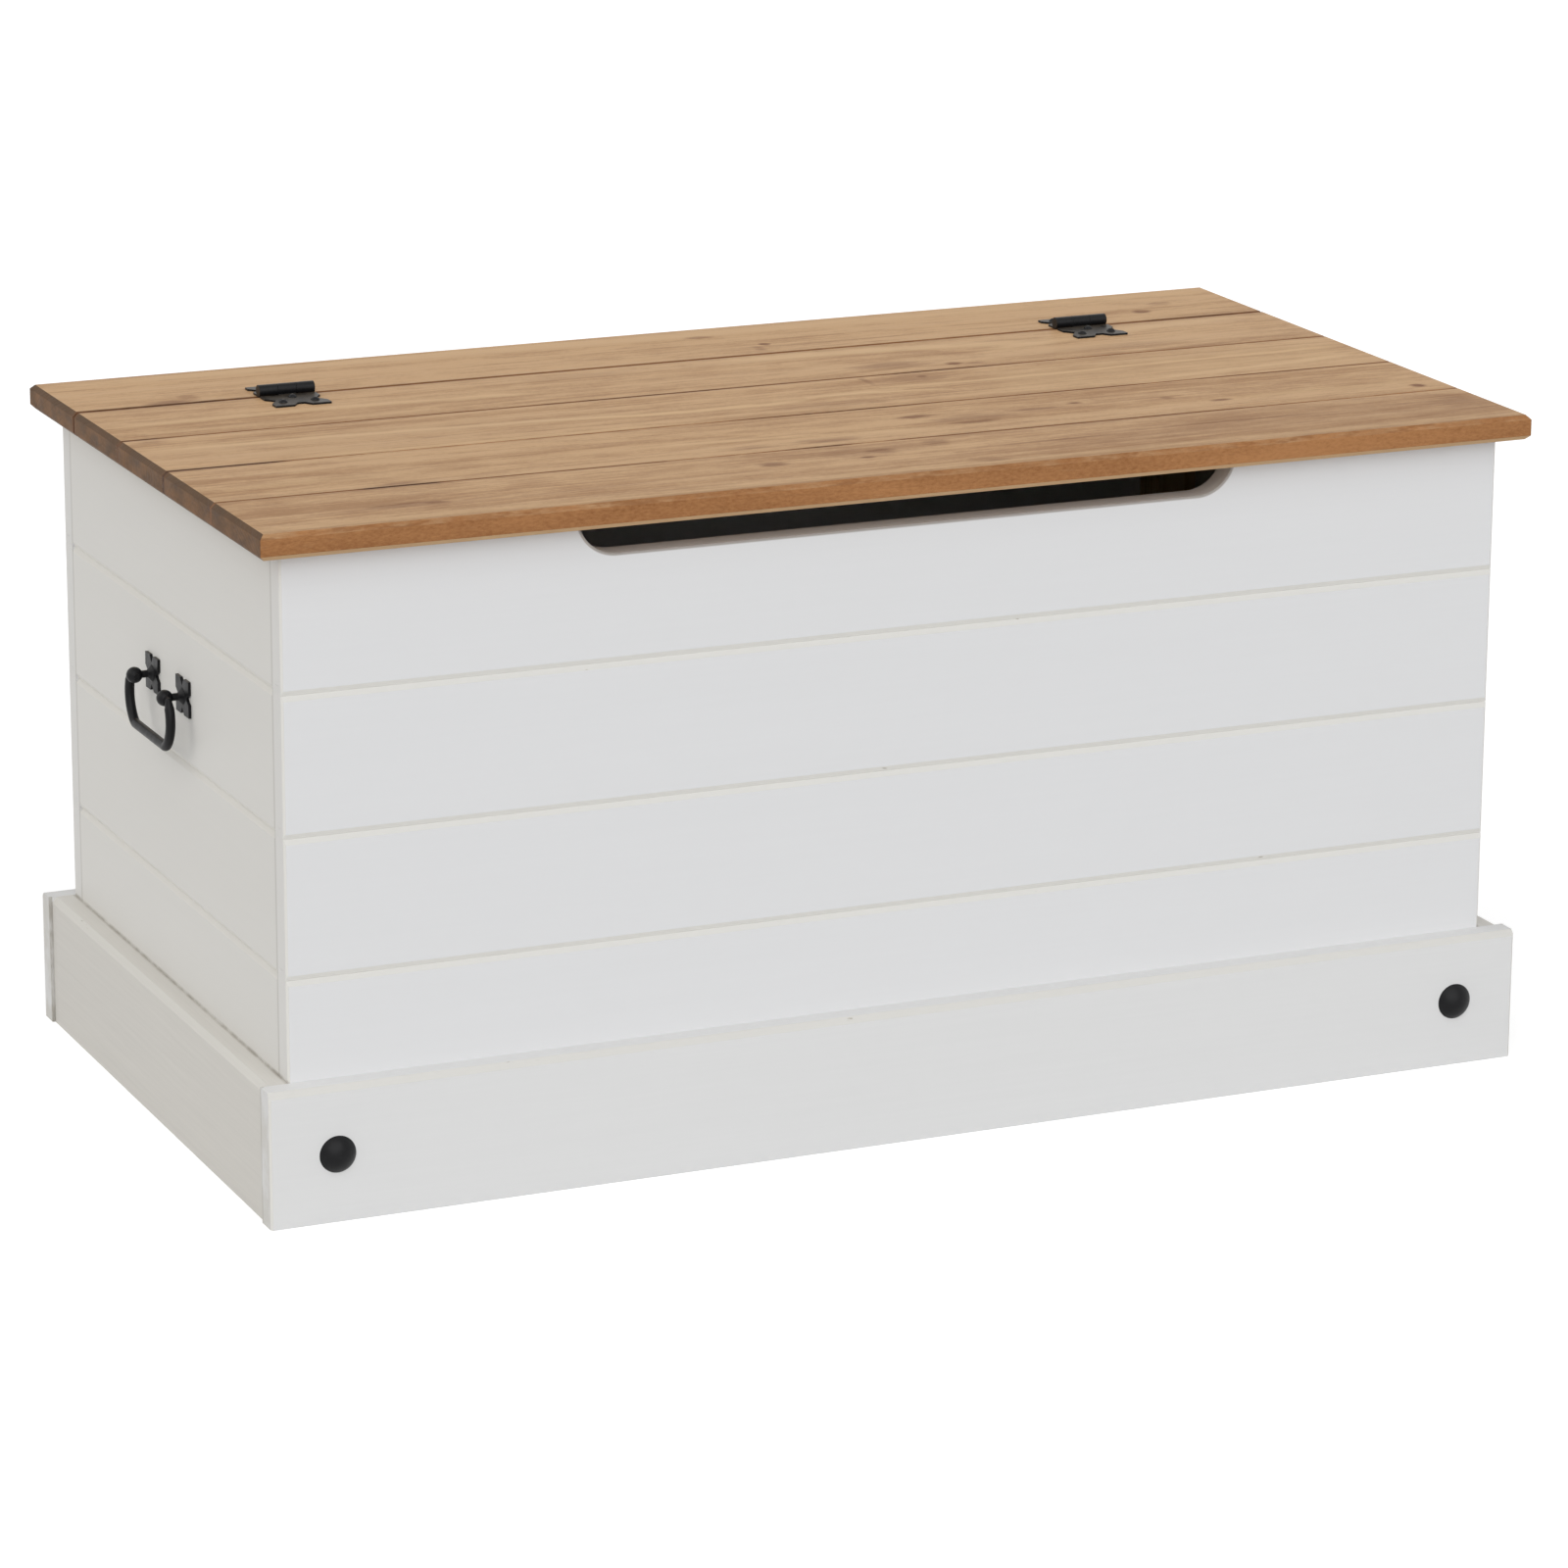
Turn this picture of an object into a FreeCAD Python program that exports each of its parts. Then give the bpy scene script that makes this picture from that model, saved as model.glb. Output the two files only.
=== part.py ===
# Storage trunk of painted pine boards with a waxed pine lid and black iron fittings.
# Millimetres. +X is the trunk's right, -Y its front, +Z up. The origin is on the floor, under the middle.

import math
import os

import FreeCAD
import Part
import Sketcher

doc = FreeCAD.newDocument("storage_trunk")

# Driving dimensions: name, millimetres, what it is
DIMENSIONS = [
    ("board", 17, "thickness of every wall, lid and plinth board"),
    ("body_width", 875, "walls, outside to outside along X"),
    ("body_depth", 452, "walls, outside to outside along Y"),
    ("wall_bottom", 66, "height of the walls' lower edge above the floor"),
    ("plank_cover", 94, "height that a plank covers, joint to joint"),
    ("top_plank", 92.6, "height of the top plank above its joint"),
    ("groove_bevel", 3.5, "height of each slope of the walls' V grooves"),
    ("groove_deep", 1.9, "depth of the walls' V grooves"),
    ("tongue_thick", 5, "thickness of a tongue"),
    ("tongue_tall", 6, "how far a tongue stands out"),
    ("tongue_clear", 0.1, "clearance around a tongue"),
    ("corner_bevel", 1.5, "bevel on the upright corners of the front and back boards"),
    ("slot_flat", 418, "straight bottom of the finger cut-out"),
    ("slot_deep", 20.5, "depth of the finger cut-out"),
    ("slot_radius", 27, "corner radius of the finger cut-out"),
    ("overhang_end", 17.5, "lid beyond the side walls"),
    ("overhang_front", 16, "lid beyond the front wall, rail beyond the back wall"),
    ("rail_depth", 99, "depth of the fixed rear rail"),
    ("lid_gap", 2, "gap between rail and lid"),
    ("top_bevel", 3, "bevel around the outer edges of the top"),
    ("seam_bevel", 1, "bevel on each side of the lid's joints"),
    ("batten_wide", 40, "width of a lid batten"),
    ("batten_thick", 18, "thickness of a lid batten"),
    ("batten_pitch", 580, "spacing of the two lid battens"),
    ("batten_clear", 5, "batten end to the front wall"),
    ("batten_setback", 20, "batten end to the lid's rear edge"),
    ("plinth_tall", 92, "height of the plinth"),
    ("plinth_bevel", 4, "bevel on the plinth's top edge"),
    ("plinth_proud", 2, "front and back plinth boards beyond the side boards"),
    ("stud_dia", 25, "dome stud diameter"),
    ("stud_rise", 7, "dome stud height"),
    ("stud_inset", 46, "dome stud centre to the plinth's end"),
    ("stud_shank_dia", 4, "nail behind the dome stud"),
    ("stud_shank", 12, "length of that nail"),
    ("post_size", 30, "width of a square corner post"),
    ("post_drop", 10, "post's top below the wall's top"),
    ("cleat_size", 20, "width of a square bottom cleat"),
    ("bottom_thick", 9, "thickness of the bottom panel"),
    ("panel_clear", 1, "clearance around the bottom panel and at the cleats' ends"),
    ("dowel_dia", 8, "rail dowel diameter"),
    ("dowel_wall", 14, "dowel length in the wall"),
    ("dowel_rail", 10, "dowel length in the rail"),
    ("dowel_pitch", 240, "spacing of the dowels in the back wall"),
    ("dowel_edge", 60, "least distance of those dowels from the wall's ends"),
    ("dowel_setback", 64, "side wall dowels from the rail's rear edge"),
    ("screw_dia", 4, "wood screw shank"),
    ("screw_head", 7.5, "wood screw head diameter"),
    ("screw_rise", 2.2, "wood screw head height"),
    ("screw_bite", 11, "wood screw depth in the last board"),
    ("screw_stagger", 8, "post screws above and below a plank's middle"),
    ("base_pitch", 240, "spacing of the base screws"),
    ("base_edge", 25, "least distance of the base screws from a cleat's ends"),
    ("wood_clear", 0.05, "radial clearance of a fastener in wood"),
    ("tip_clear", 0.5, "a blind hole beyond its fastener"),
    ("hinge_pitch", 607, "spacing of the two hinges"),
    ("barrel_long", 40, "length of a hinge barrel"),
    ("barrel_dia", 8.4, "diameter of a hinge barrel"),
    ("hinge_pin_dia", 3.6, "hinge pin diameter"),
    ("knuckle_gap", 0.3, "gap between knuckles"),
    ("barrel_clear", 0.5, "leaf edge to the other leaf's knuckle"),
    ("running_clear", 0.05, "radial clearance of a turning pin"),
    ("leaf_thick", 1.4, "hinge leaf thickness"),
    ("leaf_wide", 40, "hinge leaf width"),
    ("leaf_reach", 38, "lid leaf end to the pin's axis"),
    ("rail_leaf_reach", 27, "rail leaf end to the pin's axis"),
    ("leaf_waist", 6, "depth of the notches in a leaf's sides"),
    ("waist_start", 14, "side notch, edge nearest the pin"),
    ("waist_deepest", 21, "side notch, deepest place from the pin"),
    ("waist_end", 30, "side notch, edge farthest from the pin"),
    ("leaf_notch", 6, "depth of the notch in a leaf's end"),
    ("notch_mouth", 13, "width of that notch at its mouth"),
    ("notch_floor", 5, "width of that notch at its bottom"),
    ("leaf_screw_dia", 3, "hinge screw shank"),
    ("leaf_screw_head", 6.4, "hinge screw head diameter"),
    ("leaf_screw_rise", 2.2, "hinge screw head height"),
    ("leaf_screw_bite", 11, "hinge screw depth in the board"),
    ("leaf_screw_near", 14, "lid leaf's single screw from the pin's axis"),
    ("leaf_screw_far", 28, "lid leaf's pair of screws from the pin's axis"),
    ("rail_screw_near", 10, "rail leaf's single screw from the pin's axis"),
    ("rail_screw_far", 19.5, "rail leaf's pair of screws from the pin's axis"),
    ("leaf_screw_spread", 23, "spacing of a pair of hinge screws"),
    ("leaf_hole_clear", 0.2, "radial clearance of a screw in a leaf"),
    ("handle_pitch", 64, "spacing of a handle's two posts"),
    ("plate_wide", 26, "handle plate width"),
    ("plate_tall", 24.5, "handle plate height"),
    ("plate_thick", 2, "handle plate thickness"),
    ("plate_notch", 5, "depth of the notches in a handle plate"),
    ("plate_mouth", 7, "width of those notches"),
    ("bolt_dia", 5, "threaded end of a handle post"),
    ("bolt_clear", 0.25, "radial clearance of the threaded end in plate and wall"),
    ("bolt_tail", 1.5, "threaded end beyond its nut"),
    ("collar_dia", 12, "collar of a handle post"),
    ("collar_thick", 3, "thickness of that collar"),
    ("neck_dia", 5, "neck of a handle post"),
    ("ball_dia", 11, "ball of a handle post"),
    ("ball_offset", 14, "ball centre to the side wall"),
    ("nut_flats", 8, "nut across flats"),
    ("nut_thick", 4, "nut thickness"),
    ("bail_rod", 6.6, "bail rod diameter"),
    ("bail_tip", 4.4, "rounded top of a bail leg"),
    ("bail_taper", 5.5, "height of the taper below that top"),
    ("bail_pin_dia", 4, "bail's pins in the balls"),
    ("bail_side_clear", 0.5, "ball to the bail's leg"),
    ("bail_drop", 33.2, "bail's bottom bar below the pins"),
    ("bow_radius", 22, "outward bow of the bail's legs"),
    ("bow_drop", 14, "widest place of the bow below the pins"),
    ("bail_corner", 7, "bend radius at the bail's bottom corners"),
]

sheet = doc.addObject("Spreadsheet::Sheet", "dims")
for row, (alias, value, note) in enumerate(DIMENSIONS, start=1):
    sheet.set(f"A{row}", alias)
    sheet.set(f"B{row}", str(value))
    sheet.set(f"C{row}", note)
    sheet.setAlias(f"B{row}", alias)
doc.recompute()

# Derived places, as expressions on the sheet
PLANKS = 4
LID_BOARDS = 4
WALL_TOP = f"(dims.wall_bottom + {PLANKS - 1} * dims.plank_cover + dims.top_plank)"
TOP_FACE = f"({WALL_TOP} + dims.board)"
INNER_WIDTH = "(dims.body_width - 2 * dims.board)"
INNER_DEPTH = "(dims.body_depth - 2 * dims.board)"
TOP_LENGTH = "(dims.body_width + 2 * dims.overhang_end)"
TOP_DEPTH = "(dims.body_depth + 2 * dims.overhang_front)"
RAIL_FRONT = f"({TOP_DEPTH} / 2 - dims.rail_depth)"
LID_REAR = f"({RAIL_FRONT} - dims.lid_gap)"
LID_FRONT = f"(-{TOP_DEPTH} / 2)"
LID_BOARD = f"(({LID_REAR} - {LID_FRONT}) / {LID_BOARDS})"
HINGE_Y = f"({RAIL_FRONT} - dims.lid_gap / 2)"
HINGE_Z = f"({TOP_FACE} + dims.barrel_dia / 2)"
PLINTH_FRONT_LENGTH = "(dims.body_width + 2 * dims.board + 2 * dims.plinth_proud)"
TONGUE_LOW = "((dims.board - dims.tongue_thick) / 2)"
TONGUE_HIGH = "((dims.board + dims.tongue_thick) / 2)"
SLOT_LOW = "(dims.tongue_tall + 2 * dims.tongue_clear)"
SCREW_HOLE = "(dims.screw_dia + 2 * dims.wood_clear)"
LEAF_SCREW_HOLE = "(dims.leaf_screw_dia + 2 * dims.wood_clear)"
DOWEL_HOLE = "(dims.dowel_dia + 2 * dims.wood_clear)"
BOLT_HOLE = "(dims.bolt_dia + 2 * dims.bolt_clear)"
BITE_HOLE = "(dims.screw_bite + dims.tip_clear)"
HANDLE_Z = f"(dims.wall_bottom + {PLANKS - 1.5} * dims.plank_cover)"
POST_X = f"({INNER_WIDTH} / 2 - dims.post_size / 2)"
POST_Y = f"({INNER_DEPTH} / 2 - dims.post_size / 2)"
BASE_SCREW_Z = "(dims.wall_bottom + dims.cleat_size / 2)"
CLEAT_TOP = "(dims.wall_bottom + dims.cleat_size)"
NOTCH_X = f"({INNER_WIDTH} / 2 - dims.post_size - dims.panel_clear)"
NOTCH_Y = f"({INNER_DEPTH} / 2 - dims.post_size - dims.panel_clear)"
PAIR = ("-0.5", "0.5")

nodes = []


def size(alias):
    """The sheet's value of one driving dimension."""
    return float(sheet.get(alias))


def row_steps(pitch, length, edge):
    """Steps of a row of one pitch that is centred on a length and keeps off its ends."""
    count = 1 + int((length - 2 * edge) // pitch)
    return [step - (count - 1) / 2 for step in range(count)]


# Rows of base screws along the long and the short cleats, and of dowels along the back wall
corner_room = 2 * (size("board") + size("post_size") + size("panel_clear"))
base_rows = {
    along: [
        f"{step} * dims.base_pitch"
        for step in row_steps(size("base_pitch"), size(along) - corner_room, size("base_edge"))
    ]
    for along in ("body_width", "body_depth")
}
dowel_row = [
    f"{step} * dims.dowel_pitch"
    for step in row_steps(size("dowel_pitch"), size("body_width"), size("dowel_edge"))
]


def turned(axis=(0, 0, 1), degrees=0):
    """A rotation about one axis."""
    return FreeCAD.Rotation(FreeCAD.Vector(*axis), degrees)


def place(piece, x="0", y="0", z="0", turn=None):
    """Put a piece at a place given by expressions, with a fixed rotation."""
    piece.Placement = FreeCAD.Placement(FreeCAD.Vector(), turn or turned())
    for letter, expression in zip("xyz", (x, y, z)):
        if expression != "0":
            piece.setExpression(f"Placement.Base.{letter}", expression)
    return piece


def keep(piece):
    """Mark a piece as one of the trunk's sub-parts."""
    nodes.append(piece)
    return piece


def new_body(label):
    return doc.addObject("PartDesign::Body", label)


def new_sketch(body, name, plane, lift="0"):
    """An empty sketch on one of the body's own planes, lifted along that plane's normal."""
    sketch = body.newObject("Sketcher::SketchObject", f"{body.Name}_{name}")
    support = next(item for item in body.Origin.OriginFeatures if item.Role == plane)
    sketch.AttachmentSupport = (support, [""])
    sketch.MapMode = "FlatFace"
    if lift != "0":
        sketch.setExpression("AttachmentOffset.Base.z", lift)
    return sketch


def pin(sketch, kind, geometry, point, expression, start=1.0):
    """Tie one coordinate of a sketch point to an expression, measured from the origin."""
    index = sketch.addConstraint(Sketcher.Constraint(kind, -1, 1, geometry, point, start))
    sketch.setExpression(f"Constraints[{index}]", expression)


def outline(body, name, plane, loops, lift="0"):
    """A sketch of closed loops of straight edges. Each corner is a pair of expressions."""
    sketch = new_sketch(body, name, plane, lift)
    for corners in loops:
        first = sketch.GeometryCount
        count = len(corners)
        spread = [turned(degrees=360 * step / count).multVec(FreeCAD.Vector(10, 0, 0)) for step in range(count)]
        for step in range(count):
            sketch.addGeometry(Part.LineSegment(spread[step], spread[(step + 1) % count]))
        for step in range(count):
            following = first + (step + 1) % count
            sketch.addConstraint(Sketcher.Constraint("Coincident", first + step, 2, following, 1))
        for step, (across, along) in enumerate(corners):
            before = corners[step - 1] if step else (None, None)
            if across == before[0]:
                sketch.addConstraint(Sketcher.Constraint("Vertical", first + step - 1))
            else:
                pin(sketch, "DistanceX", first + step, 1, across)
            if along == before[1]:
                sketch.addConstraint(Sketcher.Constraint("Horizontal", first + step - 1))
            else:
                pin(sketch, "DistanceY", first + step, 1, along)
    return sketch


def circles(body, name, plane, diameter, centres, lift="0"):
    """A sketch of equal circles. Each centre is a pair of expressions."""
    sketch = new_sketch(body, name, plane, lift)
    for order, (across, along) in enumerate(centres):
        middle = FreeCAD.Vector(20 * order, 0, 0)
        ring = sketch.addGeometry(Part.Circle(middle, FreeCAD.Vector(0, 0, 1), 5.0))
        pin(sketch, "DistanceX", ring, 3, across)
        pin(sketch, "DistanceY", ring, 3, along)
        if order:
            sketch.addConstraint(Sketcher.Constraint("Equal", 0, ring))
        else:
            index = sketch.addConstraint(Sketcher.Constraint("Diameter", ring, 10.0))
            sketch.setExpression(f"Constraints[{index}]", diameter)
    return sketch


def pad(body, sketch, length, both_ways=False, backwards=False):
    feature = body.newObject("PartDesign::Pad", f"{sketch.Name}_pad")
    feature.Profile = sketch
    feature.SideType = "Symmetric" if both_ways else "One side"
    feature.Reversed = backwards
    feature.setExpression("Length", length)
    return feature


def cut(body, sketch, length=None, with_normal=False):
    """A pocket: blind, against or along the sketch's normal, or right through both ways."""
    feature = body.newObject("PartDesign::Pocket", f"{sketch.Name}_cut")
    feature.Profile = sketch
    if length is None:
        feature.SideType = "Symmetric"
        feature.Type = "ThroughAll"
    else:
        feature.Reversed = with_normal
        feature.setExpression("Length", length)
    return feature


def primitive(kind, label, x="0", y="0", z="0", turn=None, **sizes):
    """A Part primitive whose sizes are expressions."""
    piece = doc.addObject(f"Part::{kind}", label)
    for name, expression in sizes.items():
        piece.setExpression(name, expression)
    return place(piece, x, y, z, turn)


def joined(label, pieces):
    """One solid made of several primitives."""
    piece = doc.addObject("Part::MultiFuse", label)
    piece.Shapes = pieces
    piece.Refine = True
    return piece


def without(label, base, tool):
    """One solid with another cut away."""
    piece = doc.addObject("Part::Cut", label)
    piece.Base = base
    piece.Tool = tool
    return piece


def group(label, pattern, places):
    """Copies of one pattern piece, as one sub-part of separate solids."""
    links = []
    for order, (x, y, z, turn) in enumerate(places, start=1):
        link = doc.addObject("App::Link", f"{label}_{order}")
        link.LinkedObject = pattern
        links.append(place(link, x, y, z, turn))
    piece = doc.addObject("Part::Compound", label)
    piece.Links = links
    return keep(piece)


# The four ways that a wall's outer face can point, as a turn about Z of a board that faces -Y
FRONT = turned()
BACK = turned(degrees=180)
LEFT = turned(degrees=-90)
RIGHT = turned(degrees=90)


def facing(turn, along, out, height):
    """Place of a point on a wall: along its length, outward from the trunk's middle, and up."""
    if turn is FRONT:
        return (along, f"-({out})", height, turn)
    if turn is BACK:
        return (f"-({along})", out, height, turn)
    if turn is LEFT:
        return (f"-({out})", f"-({along})", height, turn)
    return (out, along, height, turn)


def base_row(turn):
    """Places of the base screws along one wall."""
    return base_rows["body_width" if turn in (FRONT, BACK) else "body_depth"]


# Walls of horizontal tongue-and-groove planks


def plank_corners(level):
    """Cross-section of a plank: outer face at y = 0, lower joint at z = 0."""
    bottom = level == 1
    top = level == PLANKS
    cover = "dims.top_plank" if top else "dims.plank_cover"
    corners = [("0", "0")] if bottom else [("dims.groove_deep", "0"), ("0", "dims.groove_bevel")]
    if top:
        corners += [("0", cover), ("dims.board", cover)]
    else:
        corners += [
            ("0", f"{cover} - dims.groove_bevel"),
            ("dims.groove_deep", cover),
            (TONGUE_LOW, cover),
            (TONGUE_LOW, f"{cover} + dims.tongue_tall"),
            (TONGUE_HIGH, f"{cover} + dims.tongue_tall"),
            (TONGUE_HIGH, cover),
            ("dims.board", cover),
        ]
    corners.append(("dims.board", "0"))
    if not bottom:
        corners += [
            (f"{TONGUE_HIGH} + dims.tongue_clear", "0"),
            (f"{TONGUE_HIGH} + dims.tongue_clear", SLOT_LOW),
            (f"{TONGUE_LOW} - dims.tongue_clear", SLOT_LOW),
            (f"{TONGUE_LOW} - dims.tongue_clear", "0"),
        ]
    return corners


def corner_bevels(length):
    """Triangles that bevel the upright outer corners at both ends of a board."""
    ends = []
    for sign in ("", "-"):
        end = f"{sign}{length} / 2"
        inward = f"{sign}({length} / 2 - dims.corner_bevel)"
        ends.append([(inward, "0"), (end, "0"), (end, "dims.corner_bevel")])
    return ends


def wall_plank(side, turn, level):
    """One plank of one wall, with the screw holes that hold it to the posts."""
    across = turn in (FRONT, BACK)
    length = "dims.body_width" if across else INNER_DEPTH
    out = "dims.body_depth / 2" if across else "dims.body_width / 2"
    post = POST_X if across else POST_Y
    stagger = "+ dims.screw_stagger" if across else "- dims.screw_stagger"
    body = new_body(f"{side}_plank_{level}")
    pad(body, outline(body, "section", "YZ_Plane", [plank_corners(level)]), length, both_ways=True)
    if across:
        cut(body, outline(body, "corners", "XY_Plane", corner_bevels(length)))
    screw_z = f"dims.plank_cover / 2 {stagger}"
    holes = circles(
        body, "post_holes", "XZ_Plane", SCREW_HOLE, [(post, screw_z), (f"-{post}", screw_z)], "-dims.board"
    )
    cut(body, holes, BITE_HOLE, with_normal=True)
    if level == 1:
        places = [(along, "dims.cleat_size / 2") for along in base_row(turn)]
        cut(body, circles(body, "base_holes", "XZ_Plane", SCREW_HOLE, places))
    height = f"dims.wall_bottom + {level - 1} * dims.plank_cover"
    place(body, *facing(turn, "0", out, height))
    return keep(body)


WALLS = {"front": FRONT, "back": BACK, "left": LEFT, "right": RIGHT}
planks = {}
for side, turn in WALLS.items():
    for level in range(1, PLANKS + 1):
        planks[side, level] = wall_plank(side, turn, level)

# Finger cut-out in the top front plank
front_top = planks["front", PLANKS]
slot_floor = "dims.top_plank - dims.slot_deep"
cut(
    front_top,
    outline(
        front_top,
        "slot",
        "XZ_Plane",
        [
            [
                ("-dims.slot_flat / 2", slot_floor),
                ("dims.slot_flat / 2", slot_floor),
                ("dims.slot_flat / 2", "dims.top_plank"),
                ("-dims.slot_flat / 2", "dims.top_plank"),
            ]
        ],
    ),
)
slot_centre = f"{slot_floor} + dims.slot_radius"
for name, sign in (("slot_left", "-"), ("slot_right", "")):
    ring = circles(
        front_top, name, "XZ_Plane", "2 * dims.slot_radius", [(f"{sign}dims.slot_flat / 2", slot_centre)]
    )
    cut(front_top, ring)

# Handle holes in the side walls' third planks
for side in ("left", "right"):
    plank = planks[side, PLANKS - 1]
    places = [(f"{step} * dims.handle_pitch", "dims.plank_cover / 2") for step in PAIR]
    cut(plank, circles(plank, "handle_holes", "XZ_Plane", BOLT_HOLE, places))

# Dowel holes in the top edges that carry the rail
SIDE_DOWEL_Y = f"({TOP_DEPTH} / 2 - dims.dowel_setback)"
DOWEL_OUT = "dims.board / 2"
dowel_rows = {
    "back": dowel_row,
    "left": [f"-{SIDE_DOWEL_Y}"],
    "right": [SIDE_DOWEL_Y],
}
for side, row in dowel_rows.items():
    plank = planks[side, PLANKS]
    holes = circles(
        plank, "dowels", "XY_Plane", DOWEL_HOLE, [(step, DOWEL_OUT) for step in row], "dims.top_plank"
    )
    cut(plank, holes, "dims.dowel_wall + dims.tip_clear")

# Corner posts inside the walls, down to the floor
post_levels = [f"dims.wall_bottom + {level + 0.5} * dims.plank_cover" for level in range(PLANKS)]
for depth_name, depth_sign in (("front", "-"), ("back", "")):
    for width_name, width_sign in (("left", "-"), ("right", "")):
        post = new_body(f"corner_post_{depth_name}_{width_name}")
        half = "dims.post_size / 2"
        square = [(f"-{half}", f"-{half}"), (half, f"-{half}"), (half, half), (f"-{half}", half)]
        pad(post, outline(post, "section", "XY_Plane", [square]), f"{WALL_TOP} - dims.post_drop")
        upper = [("0", f"{level} + dims.screw_stagger") for level in post_levels]
        lower = [("0", f"{level} - dims.screw_stagger") for level in post_levels]
        cut(post, circles(post, "front_holes", "XZ_Plane", SCREW_HOLE, upper))
        cut(post, circles(post, "side_holes", "YZ_Plane", SCREW_HOLE, lower))
        keep(place(post, f"{width_sign}{POST_X}", f"{depth_sign}{POST_Y}"))

# Bottom panel, notched around the posts, on four cleats
panel_x = f"({INNER_WIDTH} / 2 - dims.panel_clear)"
panel_y = f"({INNER_DEPTH} / 2 - dims.panel_clear)"
quarter = [(NOTCH_X, panel_y), (NOTCH_X, NOTCH_Y), (panel_x, NOTCH_Y)]
panel_corners = quarter
panel_corners = panel_corners + [(x, f"-{y}") for x, y in reversed(quarter)]
panel_corners = panel_corners + [(f"-{x}", f"-{y}") for x, y in quarter]
panel_corners = panel_corners + [(f"-{x}", y) for x, y in reversed(quarter)]
panel = new_body("bottom_panel")
pad(panel, outline(panel, "outline", "XY_Plane", [panel_corners]), "dims.bottom_thick")
keep(place(panel, z=CLEAT_TOP))

for side, turn in WALLS.items():
    across = turn in (FRONT, BACK)
    length = f"2 * {NOTCH_X}" if across else f"2 * {NOTCH_Y}"
    out = f"{INNER_DEPTH} / 2" if across else f"{INNER_WIDTH} / 2"
    cleat = new_body(f"cleat_{side}")
    edge = "dims.cleat_size"
    square = [("0", "0"), (edge, "0"), (edge, edge), ("0", edge)]
    pad(cleat, outline(cleat, "section", "YZ_Plane", [square]), length, both_ways=True)
    places = [(along, "dims.cleat_size / 2") for along in base_row(turn)]
    cut(cleat, circles(cleat, "base_holes", "XZ_Plane", SCREW_HOLE, places))
    keep(place(cleat, *facing(turn, "0", out, "dims.wall_bottom")))

# Plinth boards outside the walls, front and back over the ends of the sides
for side, turn in WALLS.items():
    across = turn in (FRONT, BACK)
    length = PLINTH_FRONT_LENGTH if across else "dims.body_depth"
    out = "dims.body_depth / 2 + dims.board" if across else "dims.body_width / 2 + dims.board"
    plinth = new_body(f"plinth_{side}")
    section = [
        ("0", "0"),
        ("dims.board", "0"),
        ("dims.board", "dims.plinth_tall"),
        ("dims.plinth_bevel", "dims.plinth_tall"),
        ("0", "dims.plinth_tall - dims.plinth_bevel"),
    ]
    pad(plinth, outline(plinth, "section", "YZ_Plane", [section]), length, both_ways=True)
    if across:
        cut(plinth, outline(plinth, "corners", "XY_Plane", corner_bevels(length)))
    places = [(along, BASE_SCREW_Z) for along in base_row(turn)]
    holes = circles(plinth, "base_holes", "XZ_Plane", SCREW_HOLE, places, "-dims.board")
    cut(plinth, holes, BITE_HOLE, with_normal=True)
    if side == "front":
        stud_x = f"({PLINTH_FRONT_LENGTH} / 2 - dims.stud_inset)"
        places = [(f"{sign}{stud_x}", "dims.plinth_tall / 2") for sign in ("-", "")]
        shank_hole = "dims.stud_shank_dia + 2 * dims.wood_clear"
        holes = circles(plinth, "stud_holes", "XZ_Plane", shank_hole, places)
        cut(plinth, holes, "dims.stud_shank + dims.tip_clear")
    keep(place(plinth, *facing(turn, "0", out, "0")))

# Rear rail and lid boards


def end_bevels():
    """Triangles that bevel the top and bottom edges at both ends of a top board."""
    bevels = []
    for sign in ("", "-"):
        end = f"{sign}{TOP_LENGTH} / 2"
        inward = f"{sign}({TOP_LENGTH} / 2 - dims.top_bevel)"
        bevels.append([(inward, "0"), (end, "0"), (end, "dims.top_bevel")])
        bevels.append([(inward, "dims.board"), (end, "dims.board"), (end, "dims.board - dims.top_bevel")])
    return bevels


def front_edge(bevel):
    """A plain front edge at y = 0, bevelled top and bottom, from the bottom up."""
    return [(bevel, "0"), ("0", bevel), ("0", f"dims.board - {bevel}"), (bevel, "dims.board")]


def rear_edge(bevel, width):
    """A plain rear edge, bevelled top and bottom, from the top down."""
    return [(f"{width} - {across}", along) for across, along in reversed(front_edge(bevel))]


rail = new_body("rear_rail")
rail_section = front_edge("dims.seam_bevel") + rear_edge("dims.top_bevel", "dims.rail_depth")
pad(rail, outline(rail, "section", "YZ_Plane", [rail_section]), TOP_LENGTH, both_ways=True)
cut(rail, outline(rail, "ends", "XZ_Plane", end_bevels()))
back_dowel = f"(dims.rail_depth - dims.overhang_front - {DOWEL_OUT})"
side_dowel_x = f"(dims.body_width / 2 - {DOWEL_OUT})"
side_dowel_y = "dims.rail_depth - dims.dowel_setback"
dowel_places = [(along, back_dowel) for along in dowel_row]
dowel_places += [(f"{sign}{side_dowel_x}", side_dowel_y) for sign in ("-", "")]
holes = circles(rail, "dowels", "XY_Plane", DOWEL_HOLE, dowel_places)
cut(rail, holes, "dims.dowel_rail + dims.tip_clear", with_normal=True)
keep(place(rail, y=RAIL_FRONT, z=WALL_TOP))


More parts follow.
